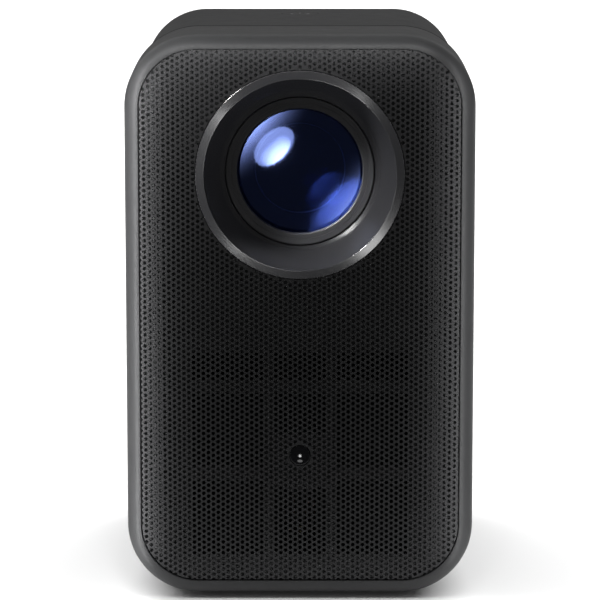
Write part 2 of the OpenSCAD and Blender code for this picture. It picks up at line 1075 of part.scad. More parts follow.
module led_module() {
    z_board = z_plate + plate_t;
    color([0.9, 0.9, 0.9])
        stack_block(23, 20, z_board, z_board + board_t);
    color([0.95, 0.85, 0.3])
        translate([0, y_stack, z_board + board_t])
            cylinder(r = 9, h = 2);
}

// ---- Cooling ----

module heat_spreader() {
    color(copper)
        stack_block(32, 16, z_plate, z_plate + plate_t);
}

// A pipe that leaves the sink's base on one side, turns down and comes back through the fins
module u_pipe(y, side) {
    z_low = z_pipe - 2 * pipe_bend;
    bend_x = 40;
    for (z = [z_pipe, z_low])
        translate([-side * 36, y, z])
            rotate([0, side * 90, 0])
                cylinder(r = pipe_r, h = 36 + bend_x);
    translate([side * bend_x, y, z_pipe - pipe_bend])
        rotate([90, 0, 0])
            rotate([0, 0, side > 0 ? -90 : 90])
                rotate_extrude(angle = 180)
                    translate([pipe_bend, 0])
                        circle(pipe_r);
}

module heat_pipes() {
    color(copper) {
        u_pipe(pipe_y[0], 1);
        u_pipe(pipe_y[1], -1);
    }
}

module pipe_holes() {
    fit = 0.05;
    for (y = pipe_y, z = [z_pipe, z_pipe - 2 * pipe_bend])
        translate([-sink_x - 1, y, z])
            rotate([0, 90, 0])
                cylinder(r = pipe_r + fit, h = 2 * sink_x + 2);
}

module heat_sink() {
    fin_t = 0.8;
    pitch = (2 * sink_x - fin_t) / (fin_count - 1);
    color(steel) {
        difference() {
            union() {
                block([-sink_x, sink_y0, z_sink], [sink_x, sink_y1, z_plate]);
                for (i = [0 : fin_count - 1])
                    translate([-sink_x + i * pitch, sink_y0, z_fins])
                        cube([fin_t, sink_y1 - sink_y0, z_sink - z_fins]);
                for (x = [-1, 1], y = post_y)
                    translate([x * post_x, y, z_plate - 3.6])
                        cylinder(r = 3.4, h = 3.6);
                for (x = [-1, 1], y = post_y)
                    block(
                        [x > 0 ? sink_x - 1 : -post_x, y - 2, z_plate - 3.6],
                        [x > 0 ? post_x : 1 - sink_x, y + 2, z_plate]
                    );
            }
            pipe_holes();
            for (x = [-1, 1], y = post_y)
                translate([x * post_x, y, z_plate - 5])
                    cylinder(r = 1.6, h = 6);
        }
    }
}

module fan_frame(side, depth, y0, z) {
    bore_r = side / 2 - 1.5;
    hole = side / 2 - 4;
    difference() {
        along_y(y0, y0 + depth)
            translate([0, z])
                round_rect(side, side, 4);
        rod_y(bore_r, 0, z, y0 - 1, y0 + depth + 1);
        for (x = [-1, 1], dz = [-1, 1])
            rod_y(1.7, x * hole, z + dz * hole, y0 - 1, y0 + depth + 1);
    }
    // Motor cup on four arms, at the back
    difference() {
        union() {
            rod_y(side * 0.21, 0, z, y0 + depth - 2, y0 + depth);
            intersection() {
                rod_y(bore_r + 0.5, 0, z, y0 + depth - 2, y0 + depth);
                for (a = [45, 135])
                    translate([0, y0 + depth - 1, z])
                        rotate([0, a, 0])
                            cube([side * 1.2, 2, 3], center = true);
            }
        }
        rod_y(1.25, 0, z, y0, y0 + depth - 0.6);
    }
}

module fan_rotor(side, depth, y0, z) {
    bore_r = side / 2 - 1.5;
    tip_r = bore_r - 0.8;
    hub_r = side * 0.2;
    tilt = 38;
    rod_y(hub_r, 0, z, y0 + 0.6, y0 + depth - 2.6);
    rod_y(1.2, 0, z, y0 + depth - 2.6, y0 + depth - 0.8);
    intersection() {
        rod_y(tip_r, 0, z, y0 + 0.8, y0 + depth - 2.8);
        for (i = [0 : fan_blades - 1])
            translate([0, y0 + depth / 2 - 1, z])
                rotate([0, i * 360 / fan_blades, 0])
                    translate([0, 0, (hub_r + tip_r) / 2])
                        rotate([0, 0, tilt])
                            cube([1.1, depth * 1.6, tip_r - hub_r + 4], center = true);
    }
}

module exhaust_fan_frame() {
    color(inner_black)
        fan_frame(fan_side, fan_depth, fan_y, fan_z);
}

module exhaust_fan_rotor() {
    color([0.12, 0.12, 0.13])
        fan_rotor(fan_side, fan_depth, fan_y, fan_z);
}

module fan_gasket() {
    color([0.15, 0.15, 0.15])
        along_y(fan_y + fan_depth, y_back - wall)
            translate([0, fan_z])
                difference() {
                    round_rect(fan_side, fan_side, 4);
                    round_rect(fan_side - 4, fan_side - 4, 2);
                }
}

module engine_blower_frame() {
    color(inner_black)
        fan_frame(blower_side, blower_depth, blower_y, blower_z);
}

module engine_blower_rotor() {
    color([0.12, 0.12, 0.13])
        fan_rotor(blower_side, blower_depth, blower_y, blower_z);
}

// ---- Speakers ----

// Two closed chambers, one behind each driver
module speaker_box() {
    front = y_driver + 2;
    back = y_seam + 1.5;
    t = 2;
    color(inner_black)
        for (side = [-1, 1])
            difference() {
                block(
                    [side > 0 ? 5.6 : -52, front, 14],
                    [side > 0 ? 52 : -5.6, back, 76]
                );
                block(
                    [side > 0 ? 5.6 + t : t - 52, front + t, 14 + t],
                    [side > 0 ? 52 - t : -5.6 - t, back - t, 76 - t]
                );
                rod_y(driver_r - 2.4, side * speaker_x, speaker_z, front - 1, front + t + 1);
            }
}

module speaker_baskets() {
    rim = y_driver;
    color(inner_black)
        for (side = [-1, 1])
            turned_y(side * speaker_x, speaker_z)
                polygon([
                    [cone_r + 0.4, rim + 0.5],
                    [driver_r - 0.2, rim + 0.5],
                    [driver_r - 0.2, rim + 2],
                    [driver_r - 2.6, rim + 2],
                    [driver_r - 2.6, rim + 4],
                    [12, rim + 14],
                    [12, rim + 22],
                    [0, rim + 22],
                    [0, rim + 20.5],
                    [9, rim + 20.5],
                    [9, rim + 14],
                    [cone_r + 0.4, rim + 4]
                ]);
}

module speaker_cone(side) {
    rim = y_driver + 1.2;
    color([0.1, 0.1, 0.1])
        turned_y(side * speaker_x, speaker_z)
            polygon([
                [0, rim + 2.4],
                [4, rim + 2.8],
                [7.4, rim + 4.6],
                [cone_r, rim],
                [cone_r, rim + 0.8],
                [8, rim + 5.6],
                [8, rim + 13],
                [7.2, rim + 13],
                [7.2, rim + 5.6],
                [4, rim + 3.6],
                [0, rim + 3.2]
            ]);
}

module left_speaker_cone() {
    speaker_cone(-1);
}

module right_speaker_cone() {
    speaker_cone(1);
}

front_shell();
front_grille();
front_baffle();
lens_trim_ring();
sensor_window();
sensor_module();
main_housing();
rear_cover();
rear_screws();
base_vent_cover();
dust_filter();
rubber_feet();
tripod_insert();
power_button();
button_board();
dc_jack();
dc_jack_pin();
hdmi_socket();
usb_socket();
audio_jack();
mainboard();
board_shields();
power_board();
wifi_antennas();
lens_barrel();
lens_retaining_ring();
front_lens();
middle_lens();
rear_lens();
lens_mount();
focus_ring();
focus_ring_clip();
focus_motor();
focus_pinion();
motor_bracket();
mirror_housing();
mirror();
engine_housing();
field_fresnel();
lcd_panel();
lcd_flat_cable();
polariser_glass();
collimating_fresnel();
light_funnel();
condenser_lens();
led_module();
heat_spreader();
heat_pipes();
heat_sink();
exhaust_fan_frame();
exhaust_fan_rotor();
fan_gasket();
engine_blower_frame();
engine_blower_rotor();
speaker_box();
speaker_baskets();
left_speaker_cone();
right_speaker_cone();
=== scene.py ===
"""The home projector's looks: detailed shells, a truly perforated front sheet, lens optics and materials."""

import math

import bmesh
import bpy
from mathutils import Matrix, Vector
from mathutils.geometry import delaunay_2d_cdt


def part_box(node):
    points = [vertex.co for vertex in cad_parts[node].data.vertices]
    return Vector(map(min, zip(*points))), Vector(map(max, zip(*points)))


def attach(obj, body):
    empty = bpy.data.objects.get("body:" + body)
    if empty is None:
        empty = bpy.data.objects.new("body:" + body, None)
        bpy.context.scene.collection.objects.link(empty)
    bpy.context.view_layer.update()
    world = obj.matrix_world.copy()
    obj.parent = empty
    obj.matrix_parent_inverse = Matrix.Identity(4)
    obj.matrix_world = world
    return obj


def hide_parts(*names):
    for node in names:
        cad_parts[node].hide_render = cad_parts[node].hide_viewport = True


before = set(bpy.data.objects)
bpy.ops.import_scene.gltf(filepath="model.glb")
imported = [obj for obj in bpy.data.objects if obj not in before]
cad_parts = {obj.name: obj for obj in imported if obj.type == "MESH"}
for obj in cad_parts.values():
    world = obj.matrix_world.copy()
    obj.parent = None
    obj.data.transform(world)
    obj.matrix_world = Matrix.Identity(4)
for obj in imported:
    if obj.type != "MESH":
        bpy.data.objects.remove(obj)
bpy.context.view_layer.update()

MM = 0.001
TAU = 2 * math.pi


# ---- Places and sizes, from the CAD parts in model.glb and given numbers ----

shell_low, shell_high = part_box("front_shell")
sleeve_low, sleeve_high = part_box("main_housing")
trim_low, trim_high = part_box("lens_trim_ring")
sheet_low, sheet_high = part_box("front_grille")
baffle_low, baffle_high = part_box("front_baffle")
barrel_low, barrel_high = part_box("lens_barrel")
window_low, window_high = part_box("sensor_window")
button_low, button_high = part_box("power_button")

FRONT = shell_low.y
SEAM = shell_high.y
SHELL_BOTTOM = shell_low.z
SHELL_W = shell_high.x - shell_low.x
SHELL_H = shell_high.z - shell_low.z
SHELL_MID = (shell_low.z + shell_high.z) / 2
CORNER_R = 26 * MM
DRAFT = 0.3 * MM
RIM = 5 * MM
SLEEVE_W = sleeve_high.x - sleeve_low.x
SLEEVE_H = sleeve_high.z - sleeve_low.z
SLEEVE_R = CORNER_R - (SHELL_W - SLEEVE_W) / 2
LENS = Vector((0, FRONT, (trim_low.z + trim_high.z) / 2))
TRIM_R = (trim_high.x - trim_low.x) / 2
SENSOR = Vector((0, window_low.y, (window_low.z + window_high.z) / 2))
SENSOR_R = (window_high.x - window_low.x) / 2


# ---- Camera ----

CAMERA_AHEAD = 1.1063
CAMERA_UP = 0.2938
CAMERA_TILT = 9.52
FOCAL_LENGTH = 188.8


def make_camera():
    """A long lens 1.1 m in front of the projector, a little above it and tilted down."""
    data = bpy.data.cameras.new("camera")
    camera = bpy.data.objects.new("camera", data)
    bpy.context.scene.collection.objects.link(camera)
    data.lens = FOCAL_LENGTH
    data.sensor_width = 36
    data.clip_start = 0.05
    camera.location = (0, FRONT - CAMERA_AHEAD, SHELL_BOTTOM + CAMERA_UP)
    camera.rotation_euler = (math.radians(90 - CAMERA_TILT), 0, 0)
    bpy.context.scene.camera = camera


# ---- Materials ----

NOISE_LOW, NOISE_HIGH = 0.3, 0.7


class Nodes:
    """Short-hand for building a node material around one Principled shader."""

    def __init__(self, name, colour, roughness, **sockets):
        self.material = bpy.data.materials.new(name)
        self.material.use_nodes = True
        self.tree = self.material.node_tree
        self.shader = self.tree.nodes["Principled BSDF"]
        self.set(base_color=(*colour, 1), roughness=roughness, **sockets)
        self.place = self.tree.nodes.new("ShaderNodeTexCoord").outputs["Object"]

    def set(self, **sockets):
        for name, value in sockets.items():
            socket = name.replace("_", " ").title().replace("Ior", "IOR")
            self.shader.inputs[socket].default_value = value

    def node(self, kind, inputs=(), **settings):
        made = self.tree.nodes.new(kind)
        for key, value in settings.items():
            setattr(made, key, value)
        for key, value in dict(inputs).items():
            if isinstance(value, bpy.types.NodeSocket):
                self.tree.links.new(value, made.inputs[key])
            else:
                made.inputs[key].default_value = value
        return made

    def noise(self, period, detail, stretch=None):
        """Noise with features about one period (in metres) apart."""
        source = self.place
        if stretch:
            source = self.node("ShaderNodeMapping", {"Vector": source, "Scale": stretch}).outputs[0]
        made = self.node("ShaderNodeTexNoise", {"Vector": source, "Scale": 1 / period, "Detail": detail})
        return made.outputs["Fac"]

    def vary_colour(self, value, dark, light):
        ramp = self.node("ShaderNodeValToRGB", {"Fac": value})
        ends = ramp.color_ramp.elements
        for end, position, colour in ((ends[0], NOISE_LOW, dark), (ends[1], NOISE_HIGH, light)):
            end.position = position
            end.color = (*colour, 1)
        self.tree.links.new(ramp.outputs["Color"], self.shader.inputs["Base Color"])

    def vary_roughness(self, value, low, high):
        reach = {"From Min": NOISE_LOW, "From Max": NOISE_HIGH, "To Min": low, "To Max": high}
        made = self.node("ShaderNodeMapRange", {"Value": value, **reach})
        self.tree.links.new(made.outputs[0], self.shader.inputs["Roughness"])

    def bump(self, value, depth):
        """Adds a relief of this depth (in metres) on top of any earlier one."""
        earlier = self.shader.inputs["Normal"]
        made = self.node("ShaderNodeBump", {"Height": value, "Distance": depth, "Strength": 1.0})
        if earlier.links:
            self.tree.links.new(earlier.links[0].from_socket, made.inputs["Normal"])
        self.tree.links.new(made.outputs[0], earlier)


def scaled(colour, factor):
    return tuple(c * factor for c in colour)


def moulded(name, colour, roughness, **sockets):
    """Moulded plastic: a fine spark-eroded grain, slow tone changes and slightly uneven gloss."""
    n = Nodes(name, colour, roughness, **sockets)
    n.vary_colour(n.noise(28 * MM, 3), scaled(colour, 0.95), scaled(colour, 1.05))
    n.vary_roughness(n.noise(6 * MM, 4), roughness - 0.025, roughness + 0.025)
    n.bump(n.noise(0.25 * MM, 3), 0.006 * MM)
    n.bump(n.noise(0.0875 * MM, 1), 0.0021 * MM)
    return n.material


def coated_steel(name, colour, roughness):
    """Powder-coated sheet: the coat's fine orange peel over a little slow waviness."""
    n = Nodes(name, colour, roughness, specular_ior_level=0.25)
    n.vary_colour(n.noise(18 * MM, 3), scaled(colour, 0.94), scaled(colour, 1.06))
    n.vary_roughness(n.noise(3 * MM, 4), roughness - 0.03, roughness + 0.04)
    n.bump(n.noise(0.5 * MM, 2), 0.004 * MM)
    n.bump(n.noise(0.12 * MM, 2), 0.0015 * MM)
    return n.material


def polished(name, colour, roughness, **sockets):
    """Polished black plastic: nearly clear gloss, broken by very faint moulding haze."""
    n = Nodes(name, colour, roughness, **sockets)
    n.vary_colour(n.noise(9 * MM, 3), scaled(colour, 0.9), scaled(colour, 1.1))
    n.vary_roughness(n.noise(2.5 * MM, 5), max(0.02, roughness - 0.02), roughness + 0.03)
    n.bump(n.noise(4 * MM, 2), 0.002 * MM)
    return n.material


def satin(name, colour, roughness, gloss):
    """Black anodised metal: an even satin face with the faintest of tone changes."""
    n = Nodes(name, colour, roughness, specular_ior_level=gloss)
    n.vary_colour(n.noise(12 * MM, 2), scaled(colour, 0.95), scaled(colour, 1.05))
    n.vary_roughness(n.noise(0.5 * MM, 3), roughness - 0.012, roughness + 0.012)
    n.bump(n.noise(0.14 * MM, 2), 0.0004 * MM)
    return n.material


def metal(name, colour, roughness, period=1.5 * MM, stretch=(1, 1, 12), depth=0.002 * MM):
    """Bare or plated metal with drawing lines along one direction."""
    n = Nodes(name, colour, roughness, metallic=1.0)
    n.vary_colour(n.noise(7 * MM, 4), scaled(colour, 0.88), scaled(colour, 1.05))
    lines = n.noise(period, 4, stretch)
    n.vary_roughness(lines, roughness - 0.06, roughness + 0.08)
    n.bump(lines, depth)
    return n.material


def coated_glass(name, tint, reflex, roughness):
    """Optical glass whose coating throws back a coloured reflex."""
    n = Nodes(name, tint, roughness, ior=1.8)
    n.set(transmission_weight=1.0, specular_tint=(*reflex, 1))
    n.bump(n.noise(30 * MM, 1), 0.0005 * MM)
    return n.material


def glass_painted_dark(name, colour, reflex):
    """An inner lens seen against the dark barrel: its base colour is painted near black, as painted shade for
    the dark barrel behind the glass, with a strong coloured reflex.
    """
    n = Nodes(name, colour, 0.03, ior=1.6)
    n.set(coat_weight=1.0, coat_roughness=0.02, coat_tint=(*reflex, 1), specular_tint=(*reflex, 1))
    n.vary_colour(n.noise(14 * MM, 2), scaled(colour, 0.9), scaled(colour, 1.1))
    return n.material


def soft_black(name, colour, roughness, grain, depth):
    """Rubber, foam or pressed paper: rough, with an open relief."""
    n = Nodes(name, colour, roughness)
    n.vary_colour(n.noise(grain * 3, 3), scaled(colour, 0.75), scaled(colour, 1.25))
    n.bump(n.noise(grain, 4), depth)
    return n.material


def circuit(name, colour):
    """Solder mask with the relief of copper tracks under it."""
    n = Nodes(name, colour, 0.35)
    tracks = n.node(
        "ShaderNodeTexBrick",
        {"Vector": n.place, "Scale": 260.0, "Mortar Size": 0.03, "Color1": (0.4, 0.4, 0.4, 1)},
    ).outputs["Fac"]
    n.vary_colour(n.noise(2.2 * MM, 5), scaled(colour, 0.7), scaled(colour, 1.3))
    n.bump(tracks, 0.02 * MM)
    return n.material


def make_materials():
    return {
        "shell": moulded("shell_plastic", (0.055, 0.0555, 0.057), 0.45, specular_ior_level=0.25),
        "housing": moulded("housing_plastic", (0.036, 0.0365, 0.038), 0.5, specular_ior_level=0.2),
        "sheet": coated_steel("perforated_steel", (0.053, 0.0535, 0.055), 0.5),
        "inner": moulded("inner_black_plastic", (0.022, 0.022, 0.024), 0.55, specular_ior_level=0.35),
        # baffle: a grey of its own, lightened as painted light so its bars, which sit in shade behind the
        # sheet, show through the holes
        "baffle": moulded("baffle_plastic_painted_light", (0.2, 0.2, 0.205), 0.6, specular_ior_level=0.3),
        "ring": satin("black_anodised_ring", (0.006, 0.006, 0.0065), 0.16, 0.5),
        "barrel": satin("black_anodised_barrel", (0.026, 0.026, 0.029), 0.45, 0.8),
        "edge": metal("turned_edge", (0.8, 0.84, 0.92), 0.35, 2 * MM, (1, 1, 1), 0.0002 * MM),
        "window": polished("window_acrylic", (0.004, 0.004, 0.005), 0.06, specular_ior_level=0.25),
        "glass": coated_glass("coated_glass", (0.06, 0.085, 0.2), (0.3, 0.41, 1.0), 0.05),
        # inner lenses: base colour painted near black, painted shade for the dark barrel seen through them
        "dark_painted_glass": glass_painted_dark("inner_glass_painted_dark", (0.006, 0.009, 0.022), (0.45, 0.6, 1.0)),
        "optical": coated_glass("optical_sheet", (0.9, 0.94, 0.96), (1, 1, 1), 0.0),
        "mirror": metal("mirror_glass", (0.85, 0.86, 0.88), 0.08, stretch=(1, 1, 1), depth=0),
        "panel": polished("panel_glass", (0.02, 0.03, 0.06), 0.12),
        "board": circuit("circuit_board", (0.015, 0.085, 0.05)),
        "steel": metal("plated_steel", (0.6, 0.61, 0.63), 0.3),
        "aluminium": metal("fin_aluminium", (0.68, 0.69, 0.71), 0.34),
        "copper": metal("copper", (0.72, 0.36, 0.2), 0.28),
        "brass": metal("brass", (0.72, 0.56, 0.26), 0.27),
        "rubber": soft_black("rubber", (0.018, 0.018, 0.018), 0.8, 0.6 * MM, 0.02 * MM),
        "foam": soft_black("foam", (0.035, 0.035, 0.038), 0.95, 0.8 * MM, 0.25 * MM),
        "nylon": moulded("gear_nylon", (0.7, 0.69, 0.62), 0.45),
        # cone paper and speaker plastic: black of their own, made darker still as painted shade for the
        # cavity behind the baffle's windows
        "paper": soft_black("cone_paper", (0.008, 0.008, 0.008), 0.9, 0.9 * MM, 0.03 * MM),
        "speaker": moulded("speaker_plastic_painted_shade", (0.007, 0.007, 0.0075), 0.7, specular_ior_level=0.1),
        "film": moulded("cable_film", (0.5, 0.26, 0.06), 0.3),
        "lamp": moulded("lamp_board", (0.75, 0.75, 0.72), 0.4),
        "mark": moulded("symbol_inlay", (0.16, 0.16, 0.165), 0.5),
    }


# ---- Mesh helpers ----

WELD = 1e-7
POLE = 1e-6
CASING_STEPS = 28


def round_rect(w, h, r, steps):
    """Points of a rectangle with round corners about the origin, anticlockwise seen from the front."""
    points = []
    for quarter, (sx, sz) in enumerate(((1, 1), (-1, 1), (-1, -1), (1, -1))):
        for i in range(steps + 1):
            a = (quarter + i / steps) * math.pi / 2
            x = sx * (w / 2 - r) + r * math.cos(a)
            z = sz * (h / 2 - r) + r * math.sin(a)
            points.append((x, z))
    return points


def ring(r, steps, x=0.0, z=0.0, phase=0.0):
    """Points of a circle, turned by a phase that counts in steps."""
    return [
        (x + r * math.cos(TAU * (i + phase) / steps), z + r * math.sin(TAU * (i + phase) / steps))
        for i in range(steps)
    ]


def arc(centre_u, centre_v, r, start, end, steps):
    """Points of an arc, angles in degrees."""
    points = []
    for i in range(steps + 1):
        a = math.radians(start + (end - start) * i / steps)
        points.append((centre_u + r * math.cos(a), centre_v + r * math.sin(a)))
    return points


def to_object(name, bm):
    bmesh.ops.remove_doubles(bm, verts=bm.verts, dist=WELD)
    bmesh.ops.recalc_face_normals(bm, faces=bm.faces)
    mesh = bpy.data.meshes.new(name)
    bm.to_mesh(mesh)
    bm.free()
    made = bpy.data.objects.new(name, mesh)
    bpy.context.scene.collection.objects.link(made)
    return made


def carve(piece, cutters):
    """Cuts the cutters' shapes out of the piece, for good."""
    for cutter in cutters:
        modifier = piece.modifiers.new("carve", "BOOLEAN")
        modifier.operation = "DIFFERENCE"
        modifier.solver = "EXACT"
        modifier.object = cutter
    bpy.context.view_layer.update()
    evaluated = piece.evaluated_get(bpy.context.evaluated_depsgraph_get())
    carved = bpy.data.meshes.new_from_object(evaluated)
    piece.modifiers.clear()
    piece.data = carved
    for cutter in cutters:
        bpy.data.objects.remove(cutter)


def finish_mesh(name, bm, material, body="root", replaces=(), sharp=32, weighted=True, cutters=()):
    """Turns a bmesh into a piece that rides on a body, with smooth shading up to an angle."""
    piece = to_object(name, bm)
    if cutters:
        carve(piece, cutters)
    mesh = piece.data
    for polygon in mesh.polygons:
        polygon.use_smooth = True
    mesh.set_sharp_from_angle(angle=math.radians(sharp))
    mesh.materials.clear()
    mesh.materials.append(material)
    if weighted:
        modifier = piece.modifiers.new("weighted", "WEIGHTED_NORMAL")
        modifier.keep_sharp = True
    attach(piece, body)
    if replaces:
        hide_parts(*replaces)
    return piece


def loft(bm, loops, closed=True):
    """Joins loops of equal length with quads. A closed loft joins the last loop to the first."""
    made = [[bm.verts.new(p) for p in points] for points in loops]
    for a, b in zip(made, made[1:] + made[:1] if closed else made[1:]):
        for i in range(len(a)):
            j = (i + 1) % len(a)
            bm.faces.new((a[i], a[j], b[j], b[i]))
    return made


def capped_loft(bm, loops):
    """A loft whose first and last loops are closed with a face."""
    made = loft(bm, loops, closed=False)
    bm.faces.new(made[0])
    bm.faces.new(made[-1])


def rounded_edge(r, steps=3):
    """A quarter round, as (how far in from the edge, how far back from the surface)."""
    turns = (math.pi / 2 * i / steps for i in range(steps + 1))
    return [(r * (1 - math.sin(a)), r * (1 - math.cos(a))) for a in turns]


def around_casing(profile, w, h, r):
    """Loops that carry a profile of (inset, depth) around the casing's outline."""
    loops = []
    for inset, y in profile:
        outline = round_rect(w - 2 * inset, h - 2 * inset, r - inset, CASING_STEPS)
        loops.append([(x, y, SHELL_MID + z) for x, z in outline])
    return loops


def lathe(bm, profile, centre, steps, closed=True):
    """Turns a profile of (radius, depth) around a line along Y through the centre."""
    loft(bm, [[(x, y, z) for x, z in ring(r, steps, centre.x, centre.z)] for r, y in profile], closed)


def lathe_up(bm, profile, x, y, steps, closed=True):
    """Turns a profile of (radius, height) around an upright line."""
    loft(bm, [[(px, py, z) for px, py in ring(r, steps, x, y)] for r, z in profile], closed)


def ribbon(bm, path, width, z0, z1):
    """A flat strip of this width along a path of (x, y) points, from height z0 to z1."""
    loops = []
    for i, here in enumerate(path):
        before, after = path[max(i - 1, 0)], path[min(i + 1, len(path) - 1)]
        along = Vector((after[0] - before[0], after[1] - before[1])).normalized()
        side = Vector((-along.y, along.x)) * width / 2
        left, right = Vector(here) + side, Vector(here) - side
        loops.append([(*left, z0), (*right, z0), (*right, z1), (*left, z1)])
    capped_loft(bm, loops)


def lay_flat(bm):
    """Turns what was built facing the front to face downwards."""
    for v in bm.verts:
        v.co.y, v.co.z = v.co.z, v.co.y


def fill_flat(bm, outlines, y):
    """Fills the first outline, less the others, with triangles at depth y."""
    verts, faces = [], []
    for outline in outlines:
        start = len(verts)
        verts += [Vector((p[0] / MM, p[1] / MM)) for p in outline]
        faces.append(list(range(start, start + len(outline))))
    points, _, triangles, _, _, owners = delaunay_2d_cdt(verts, [], faces, 0, 1e-5, True)
    made = {}
    for triangle, owner in zip(triangles, owners):
        if 0 not in owner or any(o > 0 for o in owner):
            continue
        for i in triangle:
            if i not in made:
                made[i] = bm.verts.new((points[i].x * MM, y, points[i].y * MM))
        bm.faces.new([made[i] for i in triangle])


def plate(bm, outline, holes, y0, y1, edge):
    """A flat plate from depth y0 (front) to y1 whose outline and holes are rounded at the front.
    outline and each hole are functions of how far the edge has been drawn back into the plate."""
    for shape in [outline, *holes]:
        loops = [[(x, y0 + back, z) for x, z in shape(inset)] for inset, back in rounded_edge(edge)]
        loops.append([(x, y1, z) for x, z in shape(0.0)])
        loft(bm, loops, closed=False)
    for y, inset in ((y0, edge), (y1, 0.0)):
        fill_flat(bm, [shape(inset) for shape in [outline, *holes]], y)


def slot_shape(x, z, w, h):
    """A hole with round ends, as a function of how far its edge is drawn back."""
    def shape(inset):
        r = w / 2 + inset
        top = arc(x, z + h / 2 - w / 2, r, 0, 180, 8)
        bottom = arc(x, z - h / 2 + w / 2, r, 180, 360, 8)
        return top + bottom
    return shape


def rect_shape(x0, x1, z0, z1, r, grow=1, steps=6):
    """A rectangle with round corners. Holes grow as their edge is drawn back, and outlines shrink."""
    def shape(inset):
        g = inset * grow
        points = round_rect(x1 - x0 + 2 * g, z1 - z0 + 2 * g, r + g, steps)
        return [(x + (x0 + x1) / 2, z + (z0 + z1) / 2) for x, z in points]
    return shape


def disc_shape(x, z, r, steps=48):
    """A round hole, as a function of how far its edge is drawn back."""
    def shape(inset):
        return ring(r + inset, steps, x, z)
    return shape


# ---- Front ----

def front_shell(material):
    """The front shell: a rounded rim, a lip behind which the sheet sits, and a slightly tapered wall."""
    fillet = 4.2 * MM
    wall = 2.4 * MM
    lip = 3 * MM
    edge = 0.25 * MM
    profile = [(wall, SEAM), (edge, SEAM)]
    profile += [(edge - edge * math.cos(a), SEAM - edge * math.sin(a)) for a in (0.4, 0.9, 1.3)]
    profile += [(DRAFT * t, SEAM + (FRONT + fillet - SEAM) * t) for t in (0.15, 0.5, 1.0)]
    for i in range(1, 13):
        a = math.pi / 2 * i / 12
        profile.append((DRAFT + fillet * (1 - math.cos(a)), FRONT + fillet * (1 - math.sin(a))))
    inner = DRAFT + RIM
    profile += [(inner - inset, FRONT + back) for inset, back in rounded_edge(edge)]
    profile += [(inner, FRONT + lip), (wall + 2.2 * MM, FRONT + lip), (wall, FRONT + lip + 2 * MM)]
    bm = bmesh.new()
    loft(bm, around_casing(profile, SHELL_W, SHELL_H, CORNER_R))
    return finish_mesh("front_shell_moulding", bm, material, replaces=["front_shell"])


def perforated_sheet(material):
    """The front sheet with every hole cut: staggered rows, 2 mm apart, running off its edges."""
    pitch = 2.0 * MM
    column = pitch * math.sqrt(3) / 2
    hole_r = 0.7 * MM
    sides = 9
    w = sheet_high.x - sheet_low.x
    h = sheet_high.z - sheet_low.z
    r = CORNER_R - DRAFT - RIM - 0.35 * MM
    lens_r = TRIM_R + 0.3 * MM
    sensor_r = SENSOR_R + 0.15 * MM
    outlines = [
        [(x, SHELL_MID + z) for x, z in round_rect(w, h, r, 24)],
        ring(lens_r, 120, LENS.x, LENS.z),
        ring(sensor_r, 32, SENSOR.x, SENSOR.z),
    ]

    def off_sheet(x, z, margin):
        dx, dz = abs(x) - (w / 2 - r), abs(z - SHELL_MID) - (h / 2 - r)
        if dx > 0 and dz > 0:
            return math.hypot(dx, dz) > r + margin
        return max(dx, dz) > r + margin

    columns = int(w / 2 / column) + 1
    rows = int(h / 2 / pitch) + 1
    for i in range(-columns, columns + 1):
        for k in range(-rows, rows + 1):
            x, z = i * column, SHELL_MID + (k + (i % 2) / 2) * pitch
            near_lens = math.hypot(x - LENS.x, z - LENS.z) < lens_r + hole_r * 0.3
            near_sensor = math.hypot(x - SENSOR.x, z - SENSOR.z) < sensor_r + hole_r + 0.1 * MM
            if off_sheet(x, z, 0.25 * MM) or near_lens or near_sensor:
                continue
            outlines.append(ring(hole_r, sides, x, z, 0.25))
    bm = bmesh.new()
    fill_flat(bm, outlines, sheet_low.y)
    front_faces = bm.faces[:]
    made = bmesh.ops.extrude_face_region(bm, geom=front_faces, use_keep_orig=True)
    moved = [v for v in made["geom"] if isinstance(v, bmesh.types.BMVert)]
    for v in moved:
        v.co.y = sheet_high.y
    return finish_mesh(
        "perforated_front", bm, material, replaces=["front_grille"], sharp=45
    )


def baffle_windows():
    """The nine openings of the baffle, as (x0, x1, z0, z1). The rows are in mm above the shell's bottom."""
    side_rows = ((14.5, 41.7), (46.9, 73.6), (78.6, 88.4))
    middle_rows = ((14.5, 39.2), (58.9, 73.6), (78.6, 88.4))
    for x0, x1, rows in ((-39, -13, side_rows), (13, 39, side_rows), (-9.4, 9.4, middle_rows)):
        for z0, z1 in rows:
            yield x0 * MM, x1 * MM, SHELL_BOTTOM + z0 * MM, SHELL_BOTTOM + z1 * MM


def front_baffle(material):
    """The plate behind the sheet, with rounded window edges and screw posts behind."""
    w = baffle_high.x - baffle_low.x
    h = baffle_high.z - baffle_low.z
    r = CORNER_R - DRAFT - RIM + 0.6 * MM
    y1 = baffle_low.y + 2 * MM
    outline = rect_shape(-w / 2, w / 2, SHELL_MID - h / 2, SHELL_MID + h / 2, r, -1, 16)
    holes = [rect_shape(x0, x1, z0, z1, 1.0 * MM) for x0, x1, z0, z1 in baffle_windows()]
    holes.append(disc_shape(LENS.x, LENS.z, TRIM_R - 0.9 * MM, 96))
    holes.append(disc_shape(SENSOR.x, SENSOR.z, SENSOR_R - 0.5 * MM, 32))
    bm = bmesh.new()
    plate(bm, outline, holes, baffle_low.y, y1, 0.4 * MM)
    for x in (-42 * MM, 42 * MM):
        for z in (SHELL_BOTTOM + 95 * MM, SHELL_BOTTOM + 190 * MM):
            post = [(2.6, 0), (2.6, 5.7), (2.3, 6), (1.4, 6), (1.1, 5.7), (1.1, 0)]
            lathe(bm, [(a * MM, y1 + b * MM) for a, b in post], Vector((x, 0, z)), 24)
    return finish_mesh("speaker_baffle", bm, material, replaces=["front_baffle"])


